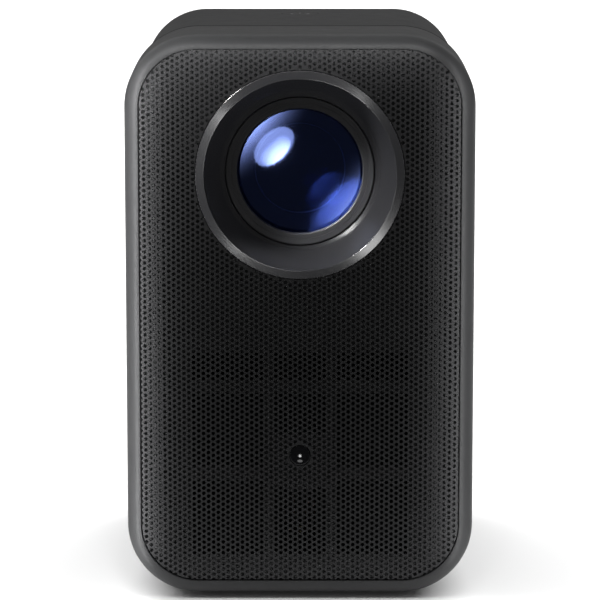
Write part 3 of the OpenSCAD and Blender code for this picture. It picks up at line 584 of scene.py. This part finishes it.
def trim_ring(material):
    """The black ring round the lens: a bevelled band, a rounded nose and a cone down to the throat."""
    nose_r = 34.3 * MM
    throat_r = 26.9 * MM
    throat_y = FRONT + 12.3 * MM
    band_y = sheet_low.y
    profile = [(TRIM_R - 1 * MM, throat_y), (TRIM_R - 1 * MM, baffle_low.y), (TRIM_R, baffle_low.y)]
    profile += arc(TRIM_R - 0.25 * MM, band_y + 0.25 * MM, 0.25 * MM, 0, -80, 4)
    slope = math.degrees(math.atan2(band_y - FRONT, TRIM_R - nose_r))
    nose = 0.11 * MM
    profile += [(nose_r + nose * 0.8, FRONT + nose * 0.22)]
    profile += arc(nose_r, FRONT + nose, nose, -90 + slope, -150, 6)
    start_r, start_y = nose_r - nose, FRONT + nose
    steps = 24
    for i in range(1, steps + 1):
        t = i / steps
        profile.append((start_r + (throat_r - start_r) * t, start_y + (throat_y - start_y) * t))
    profile += [
        (throat_r + 0.1 * MM, throat_y + 0.15 * MM),
        (throat_r + 0.1 * MM, throat_y + 2.6 * MM),
        (throat_r + 1.6 * MM, throat_y + 2.7 * MM),
    ]
    bm = bmesh.new()
    lathe(bm, profile, LENS, 240)
    return finish_mesh(
        "trim_ring", bm, material, replaces=["lens_trim_ring"], sharp=40
    )


# ---- Lens ----

STOP_DEPTH = 12.3 * MM


def lens_face(y_edge, r, bulge, towards):
    """Profile points of a spherical face from its rim to the middle; towards is -1 for a front face."""
    if bulge == 0:
        return [(r, y_edge), (POLE, y_edge)]
    ball = (r * r + bulge * bulge) / (2 * abs(bulge))
    sign = 1 if bulge > 0 else -1
    steps = 36
    points = []
    for i in range(steps + 1):
        radius = r * (1 - i / steps)
        sag = math.sqrt(ball * ball - radius * radius) - math.sqrt(ball * ball - r * r)
        points.append((max(radius, POLE), y_edge + towards * sign * sag))
    return points


def glass_element(name, node, material, r, y0, y1, front, back):
    """A lens between the edges y0 and y1 of its faces, which bulge by front and back."""
    profile = lens_face(y0, r, front, -1)
    profile.reverse()
    profile += lens_face(y1, r, back, 1)
    bm = bmesh.new()
    lathe(bm, profile, LENS, 128, closed=False)
    return finish_mesh(
        name, bm, material, "lens_group", [node], sharp=50, weighted=False
    )


def lens_barrel(material):
    """The sliding barrel: a plain front face, a stop ring, ribs against stray light and three keys."""
    outer = 26.5 * MM
    bore = 24.5 * MM
    stop = bore - 9.5 * MM
    y0 = barrel_low.y
    y1 = barrel_high.y
    profile = [(outer, y1), (outer, y0 + 0.15 * MM), (outer - 0.15 * MM, y0), (bore, y0)]
    profile += [(bore, y0 + 12 * MM), (stop, y0 + STOP_DEPTH), (stop, y0 + 14.7 * MM), (bore, y0 + 15 * MM)]
    ribs = 8
    for i in range(ribs):
        y = y0 + (20.4 + i * 0.8) * MM
        profile += [(bore, y), (bore - 0.3 * MM, y + 0.4 * MM)]
    profile += [(bore, y1 - 1.5 * MM), (bore - 3 * MM, y1 - 1.5 * MM), (bore - 3 * MM, y1)]
    bm = bmesh.new()
    lathe(bm, profile, LENS, 128)
    key_y = y1 - 12 * MM
    for k in range(3):
        a = TAU * k / 3
        across, out = Vector((math.cos(a), 0, -math.sin(a))), Vector((math.sin(a), 0, math.cos(a)))
        loops = []
        for radius, reach in ((0.001, 24.6), (2, 24.6), (2, 28.5), (1.7, 28.8), (0.001, 28.8)):
            centre = LENS + out * (reach * MM)
            centre.y = key_y
            loops.append([
                centre + (across * math.cos(t) + Vector((0, 1, 0)) * math.sin(t)) * (radius * MM)
                for t in (TAU * i / 24 for i in range(24))
            ])
        loft(bm, loops, closed=False)
    return finish_mesh("barrel", bm, material, "lens_group", ["lens_barrel"])


def retaining_ring(material):
    """The ring that clamps the front lens, a hair behind the barrel's face and eased at its bore."""
    y0 = barrel_low.y + 0.02 * MM
    y1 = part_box("lens_retaining_ring")[1].y
    outer, inner = 24.45 * MM, 22.5 * MM
    profile = [(outer, y1), (outer, y0), (inner + 0.35 * MM, y0)]
    profile += [(inner + 0.1 * MM, y0 + 0.25 * MM), (inner, y0 + 0.6 * MM), (inner, y1)]
    bm = bmesh.new()
    lathe(bm, profile, LENS, 128)
    return finish_mesh(
        "glass_clamp_ring", bm, material, "lens_group", ["lens_retaining_ring"]
    )


def stop_edge(material):
    """The bright turned edge of the barrel's stop ring, seen through the front lens as a thin circle."""
    y = barrel_low.y + STOP_DEPTH
    profile = [(15.5, 0), (15.45, -0.15), (15.1, -0.1), (14.98, 0.3), (15.2, 0.5)]
    bm = bmesh.new()
    lathe(bm, [(r * MM, y + back * MM) for r, back in profile], LENS, 160)
    return finish_mesh("stop_edge", bm, material, "lens_group")


def lens_glasses(m):
    """The three lenses, front to back. The front one is flat behind, and the middle one is hollow."""
    y0 = barrel_low.y
    rear_y = [corner.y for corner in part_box("rear_lens")]
    made = []
    for node, material, start, end, front, back in (
        ("front_lens", "glass", y0 + 3.1 * MM, y0 + 7.5 * MM, 2.6 * MM, 0),
        # the middle and rear lenses take the glass painted near black (painted shade for the barrel behind)
        ("middle_lens", "dark_painted_glass", y0 + 15.1 * MM, y0 + 20.1 * MM, -1.7 * MM, -1.7 * MM),
        ("rear_lens", "dark_painted_glass", rear_y[0] + 4.5 * MM, rear_y[1] - 1 * MM, 4.5 * MM, 1 * MM),
    ):
        name = node.replace("lens", "glass")
        made.append(glass_element(name, node, m[material], 24.4 * MM, start, end, front, back))
    return made


# ---- Sensor ----

def sensor_dome(m):
    """The sensor's black window: a rounded rim and a shallow domed middle."""
    y = window_low.y
    r = SENSOR_R
    profile = [(r, window_high.y), (r, y + 0.75 * MM), (r - 0.12 * MM, y + 0.55 * MM)]
    for i in range(10):
        t = 1 - i / 9
        radius = (r - 0.3 * MM) * t
        profile.append((max(radius, POLE), y + 0.5 * MM * (radius / r) ** 2))
    bm = bmesh.new()
    lathe(bm, profile, SENSOR, 64, closed=False)
    return finish_mesh(
        "sensor_dome", bm, m["window"], replaces=["sensor_window"], weighted=False
    )


# ---- Rear housing ----

WALL = 2.4 * MM
BASE = sleeve_low.z
ROOF = sleeve_high.z
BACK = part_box("rear_cover")[1].y
BUTTON_Y = (button_low.y + button_high.y) / 2
BUTTON_R = 7 * MM
FEET = [(x * 30 * MM, y * MM) for x in (-1, 1) for y in (-22, 58)]
TRIPOD_Y = -15 * MM
insert_low, insert_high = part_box("tripod_insert")
vent_low, vent_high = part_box("base_vent_cover")
SCREW_HEAD_R = 2.8 * MM
screws_low, screws_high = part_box("rear_screws")
SCREW_X = screws_high.x - SCREW_HEAD_R
SCREW_Z = (screws_high.z - screws_low.z) / 2 - SCREW_HEAD_R
SCREWS = [(x * SCREW_X, SHELL_MID + z * SCREW_Z) for x in (-1, 1) for z in (-1, 1)]


def flared_hole(r, x, y, surface, depth, outward, flare=0.25 * MM):
    """A cutter for a round upright hole whose edge is rounded where it meets the surface."""
    profile = [(0, surface + outward * MM), (r + flare, surface + outward * MM)]
    profile += [(r + grow, surface - outward * back) for grow, back in rounded_edge(flare, 4)]
    profile += [(r, surface - outward * depth), (0, surface - outward * depth)]
    bm = bmesh.new()
    lathe_up(bm, profile, x, y, 64, closed=False)
    return to_object("cutter", bm)


def flared_window(x0, x1, y0, y1, surface, depth):
    """A cutter for a rectangular hole in the underside, with its edge flared."""
    flare = 0.25 * MM
    loops = []
    steps = [(flare, -1 * MM), (flare, 0), (flare * 0.3, flare * 0.3), (0, flare), (0, depth)]
    for grow, rise in steps:
        points = rect_shape(x0, x1, y0, y1, 1.5 * MM)(grow)
        loops.append([(x, y, surface + rise) for x, y in points])
    bm = bmesh.new()
    capped_loft(bm, loops)
    return to_object("cutter", bm)


def housing_sleeve(material):
    """The rear housing: the spigot, the stepped edge behind the front shell and the long plain wall,
    with the button's hole in its roof and the base's openings in its floor."""
    spigot_in = 1.0 * MM
    edge = 0.25 * MM
    back = sleeve_high.y
    profile = [(WALL, sleeve_low.y), (spigot_in, sleeve_low.y), (spigot_in, SEAM + 0.05 * MM)]
    profile += [(edge, SEAM + 0.05 * MM), (0.05 * MM, SEAM + 0.12 * MM), (0, SEAM + 0.35 * MM)]
    profile += [(0, back - 0.3 * MM), (0.08 * MM, back - 0.08 * MM), (0.3 * MM, back), (WALL, back)]
    bm = bmesh.new()
    loft(bm, around_casing(profile, SLEEVE_W, SLEEVE_H, SLEEVE_R))
    cutters = [flared_hole(BUTTON_R + 0.15 * MM, 0, BUTTON_Y, ROOF, 4 * MM, 1)]
    cutters.append(flared_hole(4.5 * MM, 0, TRIPOD_Y, BASE, 4 * MM, -1, 0.1 * MM))
    cutters += [flared_hole(6.1 * MM, x, y, BASE, 0.8 * MM, -1, 0.2 * MM) for x, y in FEET]
    gap = 0.2 * MM
    cutters.append(flared_window(
        vent_low.x - gap, vent_high.x + gap, vent_low.y - gap, vent_high.y + gap, BASE, 4 * MM
    ))
    return finish_mesh(
        "housing_sleeve", bm, material, replaces=["main_housing"], cutters=cutters
    )


def housing_bosses(material):
    """The posts inside the housing: four for the rear screws, four for the engine, one for a tripod."""
    bm = bmesh.new()
    for x, z in SCREWS:
        end = sleeve_high.y - 3 * MM
        post = [(1.3, end - 14.8 * MM), (5.8, end - 14.8 * MM), (5.8, end - 0.3 * MM), (5.5, end), (1.6, end)]
        lathe(bm, [(r * MM, y) for r, y in post] + [(1.3 * MM, end - 0.3 * MM)], Vector((x, 0, z)), 40)
    for x in (-43.5, 43.5):
        for y in (-1, 37):
            z0, z1 = BASE + WALL + 0.2 * MM, 31 * MM
            post = [(1.2, z1 - 10 * MM), (1.2, z1 - 0.3 * MM), (1.5, z1), (2.7, z1), (3, z1 - 0.3 * MM)]
            post.append((3, z0))
            lathe_up(bm, [(r * MM, z) for r, z in post], x * MM, y * MM, 32)
    z0 = BASE + WALL
    boss = [(4.5 * MM, z0), (7 * MM, z0), (7 * MM, insert_high.z - 0.3 * MM), (6.7 * MM, insert_high.z)]
    lathe_up(bm, boss + [(4.5 * MM, insert_high.z)], 0, TRIPOD_Y, 48)
    return finish_mesh("housing_bosses", bm, material)


def vent_slots():
    """The rear vents: three rows of fifteen upright slots, as (x, z) of their middles."""
    for i in range(15):
        for j in range(3):
            yield (i - 7) * 4.4 * MM, (46 + (j - 1) * 21) * MM


def port_shapes():
    """The openings for the power jack, the video and data sockets and the audio jack."""
    return [
        disc_shape(50.2 * MM, 104 * MM, 4.4 * MM),
        rect_shape(49.3 * MM, 55.5 * MM, 118.1 * MM, 133.9 * MM, 0.8 * MM),
        rect_shape(48 * MM, 55.4 * MM, 138.9 * MM, 153.1 * MM, 0.8 * MM),
        disc_shape(51.8 * MM, 164 * MM, 3.3 * MM, 40),
    ]


def rear_panel(material):
    """The rear cover: a rounded cap with vent slots, port openings and four recessed screw seats."""
    fillet = 4 * MM
    skirt = 7 * MM
    edge = 0.3 * MM
    inner = BACK - WALL
    rim = BACK - fillet
    profile = [(fillet, inner), (fillet, BACK - skirt), (2.5 * MM, BACK - skirt), (2.5 * MM, rim)]
    profile += [(edge, rim), (0.08 * MM, rim + 0.08 * MM), (0, rim + edge)]
    for i in range(1, 15):
        a = math.radians(5 + 85 * i / 14)
        profile.append((fillet * (1 - math.cos(a)), rim + fillet * math.sin(a)))
    bm = bmesh.new()
    loft(bm, around_casing(profile, SLEEVE_W, SLEEVE_H, SLEEVE_R), closed=False)

    flat = round_rect(SLEEVE_W - 2 * fillet, SLEEVE_H - 2 * fillet, SLEEVE_R - fillet, CASING_STEPS)
    outline = [(x, z + SHELL_MID) for x, z in flat]
    shapes = [slot_shape(x, z, 2.2 * MM, 17 * MM) for x, z in vent_slots()] + port_shapes()
    curve = rounded_edge(edge)
    for shape in shapes:
        loops = [[(x, BACK - back, z) for x, z in shape(grow)] for grow, back in curve]
        loops.append([(x, inner, z) for x, z in shape(0)])
        loft(bm, loops, closed=False)
    seat_r, hole_r, boss_r = 3.2 * MM, 1.7 * MM, 4.2 * MM
    seat_y, boss_y = BACK - 3 * MM, BACK - skirt
    for x, z in SCREWS:
        profile = [(seat_r + grow, BACK - back) for grow, back in curve]
        profile += [(seat_r, seat_y), (hole_r, seat_y), (hole_r, boss_y), (boss_r, boss_y), (boss_r, inner)]
        lathe(bm, profile, Vector((x, 0, z)), 48, closed=False)
    seats = [disc_shape(x, z, seat_r)(edge) for x, z in SCREWS]
    bosses = [disc_shape(x, z, boss_r)(0) for x, z in SCREWS]
    fill_flat(bm, [outline] + [shape(edge) for shape in shapes] + seats, BACK)
    fill_flat(bm, [outline] + [shape(0) for shape in shapes] + bosses, inner)
    return finish_mesh("rear_panel", bm, material, replaces=["rear_cover"])


def cross_shape(x, z, reach, half):
    """The outline of a cross recess."""
    corners = []
    for k in range(4):
        c, s = math.cos(k * math.pi / 2), math.sin(k * math.pi / 2)
        for u, v in ((reach, -half), (reach, half), (half, half)):
            corners.append((x + u * c - v * s, z + u * s + v * c))
    return corners


def cover_screws(material):
    """Four pan-head screws with cross recesses, facing the back."""
    top = BACK - 1.1 * MM
    bm = bmesh.new()
    for x, z in SCREWS:
        centre = Vector((x, 0, z))
        head = [(1.2 * MM, BACK - 17.5 * MM), (1.2 * MM, top - 1.8 * MM), (SCREW_HEAD_R, top - 1.8 * MM)]
        for i in range(6):
            a = math.radians(90 * i / 5)
            head.append((2.1 * MM + 0.7 * MM * math.cos(a), top - 0.7 * MM + 0.7 * MM * math.sin(a)))
        lathe(bm, head, centre, 48, closed=False)
        mouth = cross_shape(x, z, 1.6 * MM, 0.38 * MM)
        floor = cross_shape(x, z, 1.1 * MM, 0.28 * MM)
        fill_flat(bm, [ring(2.1 * MM, 48, x, z), mouth], top)
        loft(bm, [[(a, top, b) for a, b in mouth], [(a, top - 1 * MM, b) for a, b in floor]], closed=False)
        fill_flat(bm, [floor], top - 1 * MM)
        fill_flat(bm, [ring(1.2 * MM, 48, x, z)], BACK - 17.5 * MM)
    return finish_mesh("cover_screws", bm, material, replaces=["rear_screws"])


def power_key(m):
    """The round power button, slightly dished, with a faint power symbol inlaid in its top."""
    top = button_high.z
    r = BUTTON_R
    profile = [(POLE, top - 0.22 * MM)]
    profile += [(r * t, top - 0.22 * MM + 0.2 * MM * t * t) for t in (0.2, 0.4, 0.6, 0.8, 0.93)]
    profile += arc(r - 0.3 * MM, top - 0.3 * MM, 0.3 * MM, 80, 0, 4)
    profile += [(r, top - 2.6 * MM), (r + 1.2 * MM, top - 2.6 * MM), (r + 1.2 * MM, top - 4 * MM)]
    profile += [(1.8 * MM, top - 4 * MM), (1.8 * MM, button_low.z + 0.2 * MM), (1.6 * MM, button_low.z)]
    profile += [(POLE, button_low.z)]
    bm = bmesh.new()
    lathe_up(bm, profile, 0, BUTTON_Y, 96, closed=False)
    finish_mesh(
        "power_key", bm, m["housing"], "power_button", ["power_button"], weighted=False
    )
    z0, z1 = top - 0.3 * MM, top - 0.12 * MM
    bm = bmesh.new()
    turn = [math.radians(120 + 300 * i / 48) for i in range(49)]
    ribbon(bm, [(3.4 * MM * math.cos(a), BUTTON_Y + 3.4 * MM * math.sin(a)) for a in turn], 0.7 * MM, z0, z1)
    ribbon(bm, [(0, BUTTON_Y + t * MM) for t in (0.8, 2.5, 4.4)], 0.7 * MM, z0, z1)
    finish_mesh("power_mark", bm, m["mark"], "power_button", weighted=False)


def feet(material):
    """Four round rubber feet with a rounded edge and a shallow sucker-like hollow."""
    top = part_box("rubber_feet")[1].z
    bm = bmesh.new()
    for x, y in FEET:
        profile = [(POLE, 0.5 * MM), (2.4 * MM, 0.5 * MM)]
        profile += arc(2.4 * MM, 0.8 * MM, 0.3 * MM, -90, -20, 3)
        profile += [(3.1 * MM, 0.1 * MM), (3.4 * MM, 0)]
        profile += arc(5.2 * MM, 0.8 * MM, 0.8 * MM, -90, 0, 6)
        profile += [(6 * MM, top), (POLE, top)]
        lathe_up(bm, profile, x, y, 64, closed=False)
    return finish_mesh("foot_pads", bm, material, replaces=["rubber_feet"], weighted=False)


def threaded_insert(material):
    """The brass tripod insert with a real helical thread in its bore."""
    low, high = insert_low.z, insert_high.z
    bore = 3.175 * MM
    pitch = 1.27 * MM
    bm = bmesh.new()
    body = [(4.5 * MM, high), (4.5 * MM, low + 0.15 * MM), (4.35 * MM, low), (bore + 0.4 * MM, low)]
    body += [(bore, low + 0.4 * MM), (bore, high)]
    lathe_up(bm, body, 0, TRIPOD_Y, 96)
    steps = 48
    turns = (high - low - 1.6 * MM) / pitch
    loops = []
    for i in range(int(turns * steps) + 1):
        a = TAU * i / steps
        z = low + 0.8 * MM + pitch * i / steps
        run_out = min(1, i / 20, (turns * steps - i) / 20 + 0.01)
        root, crest = bore + 0.05 * MM, bore - 0.6 * MM * run_out
        loops.append([
            (radius * math.cos(a), TRIPOD_Y + radius * math.sin(a), z + rise * pitch)
            for radius, rise in ((root, -0.45), (crest, 0), (root, 0.45))
        ])
    capped_loft(bm, loops)
    return finish_mesh("tripod_bush", bm, material, replaces=["tripod_insert"], weighted=False)


def base_vent(material):
    """The lift-out cover of the dust filter: a plate with two rows of slots and rounded edges."""
    outline = rect_shape(vent_low.x, vent_high.x, vent_low.y, vent_high.y, 1.2 * MM, -1)
    holes = []
    for i in range(-5, 6):
        for j in range(2):
            y = vent_low.y + (3 + 7.75 + j * 18) * MM
            holes.append(slot_shape(i * 5 * MM, y, 2.4 * MM, 15.5 * MM))
    bm = bmesh.new()
    plate(bm, outline, holes, vent_low.z, vent_high.z, 0.3 * MM)
    lay_flat(bm)
    return finish_mesh("base_vent", bm, material, replaces=["base_vent_cover"])


def socket_shell(name, node, m, chamfer, tongue_x, tongue_t, contacts):
    """A metal socket shell with a plastic tongue and its gilt contacts, seen from the back."""
    low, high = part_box(node)
    thick = 0.4 * MM
    mouth = high.y

    def outline(inset):
        x0, x1 = low.x + inset, high.x - inset
        z0, z1 = low.z + inset, high.z - inset
        c = chamfer * (1 - inset / (2 * thick) * 0.2)
        return [(x0, z0 + c * 0.6), (x0 + c, z0), (x1, z0), (x1, z1), (x0 + c, z1), (x0, z1 - c * 0.6)]

    bm = bmesh.new()
    steps = [(0, low.y), (0, mouth - 0.1 * MM), (0.1 * MM, mouth), (thick - 0.1 * MM, mouth)]
    steps += [(thick, mouth - 0.1 * MM), (thick, low.y + 2 * MM)]
    capped_loft(bm, [[(x, y, z) for x, z in outline(inset)] for inset, y in steps])
    finish_mesh(name + "_shell", bm, m["steel"], replaces=[node], weighted=False)

    z0, z1 = low.z + 1.6 * MM, high.z - 1.6 * MM
    tongue = rect_shape(tongue_x, tongue_x + tongue_t, z0, z1, 0.25 * MM, -1)
    bm = bmesh.new()
    plate(bm, tongue, [], -(mouth - 1 * MM), -(low.y + 1.9 * MM), 0.15 * MM)
    for v in bm.verts:
        v.co.y = -v.co.y
    finish_mesh(name + "_tongue", bm, m["inner"], weighted=False)

    bm = bmesh.new()
    span = (z1 - z0) - 1.6 * MM
    for k in range(contacts):
        z = z0 + 0.8 * MM + span * (k + 0.5) / contacts
        half = span / contacts * 0.3
        strip = rect_shape(tongue_x - 0.12 * MM, tongue_x + 0.05 * MM, z - half, z + half, 0.05 * MM, -1, 2)
        capped_loft(bm, [[(x, y, zz) for x, zz in strip(0)] for y in (mouth - 1.6 * MM, low.y + 2 * MM)])
    finish_mesh(name + "_contacts", bm, m["brass"], weighted=False)


def dress_cad_nodes(m):
    """Gives each CAD node that stays visible its own material."""
    looks = {
        "inner": ["lens_mount", "mirror_housing", "engine_housing", "exhaust_fan_frame", "exhaust_fan_rotor",
                  "engine_blower_frame", "engine_blower_rotor", "dc_jack", "audio_jack"],
        # the speaker parts carry a black made darker as painted shade for the cavity behind the windows
        "speaker": ["speaker_box", "speaker_baskets"],
        "board": ["sensor_module", "button_board", "mainboard", "power_board", "wifi_antennas"],
        "steel": ["dc_jack_pin", "board_shields", "focus_ring_clip", "focus_motor", "motor_bracket"],
        "nylon": ["focus_ring", "focus_pinion"],
        "mirror": ["mirror"],
        "optical": ["field_fresnel", "polariser_glass", "collimating_fresnel", "condenser_lens"],
        "panel": ["lcd_panel"],
        "film": ["lcd_flat_cable"],
        "aluminium": ["light_funnel", "heat_sink"],
        "copper": ["heat_spreader", "heat_pipes"],
        "lamp": ["led_module"],
        "foam": ["dust_filter", "fan_gasket"],
        "paper": ["left_speaker_cone", "right_speaker_cone"],
    }
    for look, nodes in looks.items():
        for node in nodes:
            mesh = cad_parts[node].data
            mesh.materials.clear()
            mesh.materials.append(m[look])


# ---- Studio ----

ROOM_LIGHT = 0.09
FLOOR_HALF = 3
FLOOR_START, FLOOR_END = -0.125, 4
STRIP = 2 * MM


def softbox(name, place, target, size, radiance, spin=0.0, shape="RECTANGLE"):
    """A light panel of this size that faces a target. The camera doesn't see it."""
    data = bpy.data.lights.new(name, "AREA")
    data.shape = shape
    data.size, data.size_y = size
    area = size[0] * size[1] * (math.pi / 4 if shape == "ELLIPSE" else 1)
    data.energy = radiance * math.pi * area
    light = bpy.data.objects.new(name, data)
    bpy.context.scene.collection.objects.link(light)
    light.location = place
    facing = (Vector(target) - Vector(place)).to_track_quat("-Z", "Y").to_matrix()
    light.rotation_euler = (facing @ Matrix.Rotation(math.radians(spin), 3, "Z")).to_euler()
    light.visible_camera = False
    return light


def fade(light, power):
    """Grades a panel: dark at one long edge, full at the other, and dying away towards both ends."""
    light.data.use_nodes = True
    tree = light.data.node_tree
    split = tree.nodes.new("ShaderNodeSeparateXYZ")
    tree.links.new(tree.nodes.new("ShaderNodeNewGeometry").outputs["Parametric"], split.inputs[0])
    along, across = split.outputs["X"], split.outputs["Y"]

    def calculate(operation, *values):
        made = tree.nodes.new("ShaderNodeMath")
        made.operation = operation
        for socket, value in zip(made.inputs, values):
            if isinstance(value, bpy.types.NodeSocket):
                tree.links.new(value, socket)
            else:
                socket.default_value = value
        return made.outputs[0]

    rise = calculate("POWER", across, power)
    hump = calculate("MULTIPLY", along, calculate("SUBTRACT", 1, along))
    lamp = next(node for node in tree.nodes if node.type == "EMISSION")
    tree.links.new(calculate("MULTIPLY", rise, hump), lamp.inputs["Strength"])


def shine_on(light, subjects):
    """Keeps a light to these pieces, as a flag on a light stand would."""
    lit = bpy.data.collections.new(light.name + "_subjects")
    for piece in subjects:
        lit.objects.link(piece)
    light.light_linking.receiver_collection = lit


def ahead_of(origin, azimuth, elevation, distance):
    """A place in front of the origin, by its direction in degrees: azimuth to the right, elevation up."""
    a, e = math.radians(azimuth), math.radians(elevation)
    return origin + distance * Vector((math.sin(a) * math.cos(e), -math.cos(a) * math.cos(e), math.sin(e)))


def make_world():
    """A dim even room that the camera sees as plain white."""
    world = bpy.data.worlds.new("studio")
    world.use_nodes = True
    tree = world.node_tree
    path = tree.nodes.new("ShaderNodeLightPath")
    room, white = tree.nodes["Background"], tree.nodes.new("ShaderNodeBackground")
    for background, strength in ((room, ROOM_LIGHT), (white, 1.0)):
        background.inputs["Color"].default_value = (1, 1, 1, 1)
        background.inputs["Strength"].default_value = strength
    mix = tree.nodes.new("ShaderNodeMixShader")
    tree.links.new(path.outputs["Is Camera Ray"], mix.inputs["Fac"])
    tree.links.new(room.outputs[0], mix.inputs[1])
    tree.links.new(white.outputs[0], mix.inputs[2])
    tree.links.new(mix.outputs[0], tree.nodes["World Output"].inputs["Surface"])
    bpy.context.scene.world = world


def make_floor():
    """A pale paper floor. It starts close in front, so that little of it lights the front sheet."""
    bm = bmesh.new()
    near = [(x, FLOOR_START, 0) for x in (-FLOOR_HALF, FLOOR_HALF)]
    far = [(x, FLOOR_END, 0) for x in (FLOOR_HALF, -FLOOR_HALF)]
    bm.faces.new([bm.verts.new(corner) for corner in near + far])
    floor = to_object("floor", bm)
    n = Nodes("floor_paper", (0.86, 0.86, 0.86), 0.9, specular_ior_level=0.1)
    n.vary_colour(n.noise(0.4, 2), (0.85, 0.85, 0.85), (0.87, 0.87, 0.87))
    floor.data.materials.append(n.material)
    return floor


def light_room(floor):
    """The soft light on the floor and from above, and a small panel at the casing's upper left."""
    over_floor = (0, 1.5, 0)
    shine_on(softbox("floor_light", (0, 1.5, 2.2), over_floor, (7, 5), 2.1), [floor])
    softbox("overhead", (0, 1.5, 1.9), over_floor, (4.5, 3.6), 0.8)
    brow = (-62 * MM, FRONT - 30 * MM, 200 * MM)
    softbox("brow", brow, (-48 * MM, FRONT, 178 * MM), (20 * MM, 40 * MM), 5.0)


def light_lens(rings, glasses, dome):
    """The lamps whose reflections show on the ring, the lens and the sensor's window."""
    key_target = LENS + Vector((20 * MM, 0, -20 * MM))
    key = softbox("key", ahead_of(LENS, -69, 43, 0.3), key_target, (0.12, 0.12), 7.5)
    key.data.spread = math.radians(16)
    shine_on(key, rings)
    for name, azimuth, elevation, distance, size, spin, shape, radiance, subjects in (
        ("glint_halo", -10.9, 3.0, 0.51, (0.18, 0.11), 45, "ELLIPSE", 8, glasses[:1]),
        ("edge_light", -20, 10, 0.5, (0.4, 0.4), 0, "RECTANGLE", 250, glasses[3:]),
        ("inner_glow", -13.1, 4.2, 0.5, (0.4, 0.22), 45, "ELLIPSE", 12, glasses[1:2]),
        ("ring_upper_left", -25, 3.3, 0.3, (0.05, 0.12), 0, "RECTANGLE", 26, rings[:1]),
        ("ring_upper_right", 13, 17, 0.3, (0.1, 0.04), 0, "RECTANGLE", 26, rings[:1]),
        ("ring_lower_left", -15, -29, 0.22, (0.08, 0.04), 0, "RECTANGLE", 44, rings[:1]),
        ("ring_lower_right", 21, -25, 0.25, (0.1, 0.1), 0, "RECTANGLE", 12, rings[:1]),
    ):
        place = ahead_of(LENS, azimuth, elevation, distance)
        shine_on(softbox(name, place, LENS, size, radiance, spin, shape), subjects)
    for name, azimuth, elevation, size, spin, shape, radiance, power in (
        ("rim_upper_left", -13.4, 5.4, (0.4, 0.14), 47, "RECTANGLE", 75, 4),
        ("rim_lower_right", 15.3, -16.0, (0.36, 0.14), 237, "RECTANGLE", 28, 5),
        ("glint", -10.5, 1.4, (0.145, 0.072), 225, "ELLIPSE", 190, 1.2),
    ):
        light = softbox(name, ahead_of(LENS, azimuth, elevation, 0.5), LENS, size, radiance, spin, shape)
        fade(light, power)
        shine_on(light, glasses[:1])
    for name, elevation, distance, size, radiance in (
        ("sensor_glint", -12.5, 0.15, (0.022, 0.022), 30),
        ("sensor_ghost", -29, 0.1, (0.027, 0.015), 5),
    ):
        place = ahead_of(SENSOR, 0, elevation, distance)
        shine_on(softbox(name, place, SENSOR, size, radiance, 0, "ELLIPSE"), [dome])


def light_casing():
    """A thin strip along each side of the casing's front, and two panels for its back."""
    high, wide = SHELL_H - 12 * MM, SHELL_W - 24 * MM
    for name, x, ahead, z, size, radiance in (
        ("left_strip", -60.5 * MM, 8 * MM, SHELL_MID, (STRIP, high), 22),
        ("right_strip", 59 * MM, 10 * MM, SHELL_MID, (STRIP, high), 11),
        ("top_strip", 0, 12 * MM, shell_high.z - 3 * MM, (wide, STRIP), 13),
        ("bottom_strip", 0, 10 * MM, SHELL_BOTTOM + 3 * MM, (wide, STRIP), 1),
    ):
        softbox(name, (x, FRONT - ahead, z), (x, FRONT, z), size, radiance)
    for name, x in (("back_left", -0.9), ("back_right", 0.9)):
        softbox(name, (x, 1.1, 0.9), (0, 0, 0.1), (0.6, 0.6), 1.2)


make_camera()
m = make_materials()
dress_cad_nodes(m)
front_shell(m["shell"])
perforated_sheet(m["sheet"])
front_baffle(m["baffle"])
rings = [trim_ring(m["ring"]), lens_barrel(m["barrel"]), retaining_ring(m["barrel"])]
glasses = lens_glasses(m) + [stop_edge(m["edge"])]
dome = sensor_dome(m)
housing_sleeve(m["housing"])
housing_bosses(m["housing"])
rear_panel(m["housing"])
cover_screws(m["steel"])
power_key(m)
feet(m["rubber"])
threaded_insert(m["brass"])
base_vent(m["housing"])
socket_shell("hdmi", "hdmi_socket", m, 1.4 * MM, 51.8 * MM, 1.2 * MM, 10)
socket_shell("usb", "usb_socket", m, 0.25 * MM, 52.1 * MM, 1.9 * MM, 4)
bpy.context.scene.view_settings.view_transform = "Standard"
make_world()
light_room(make_floor())
light_lens(rings, glasses, dome)
light_casing()
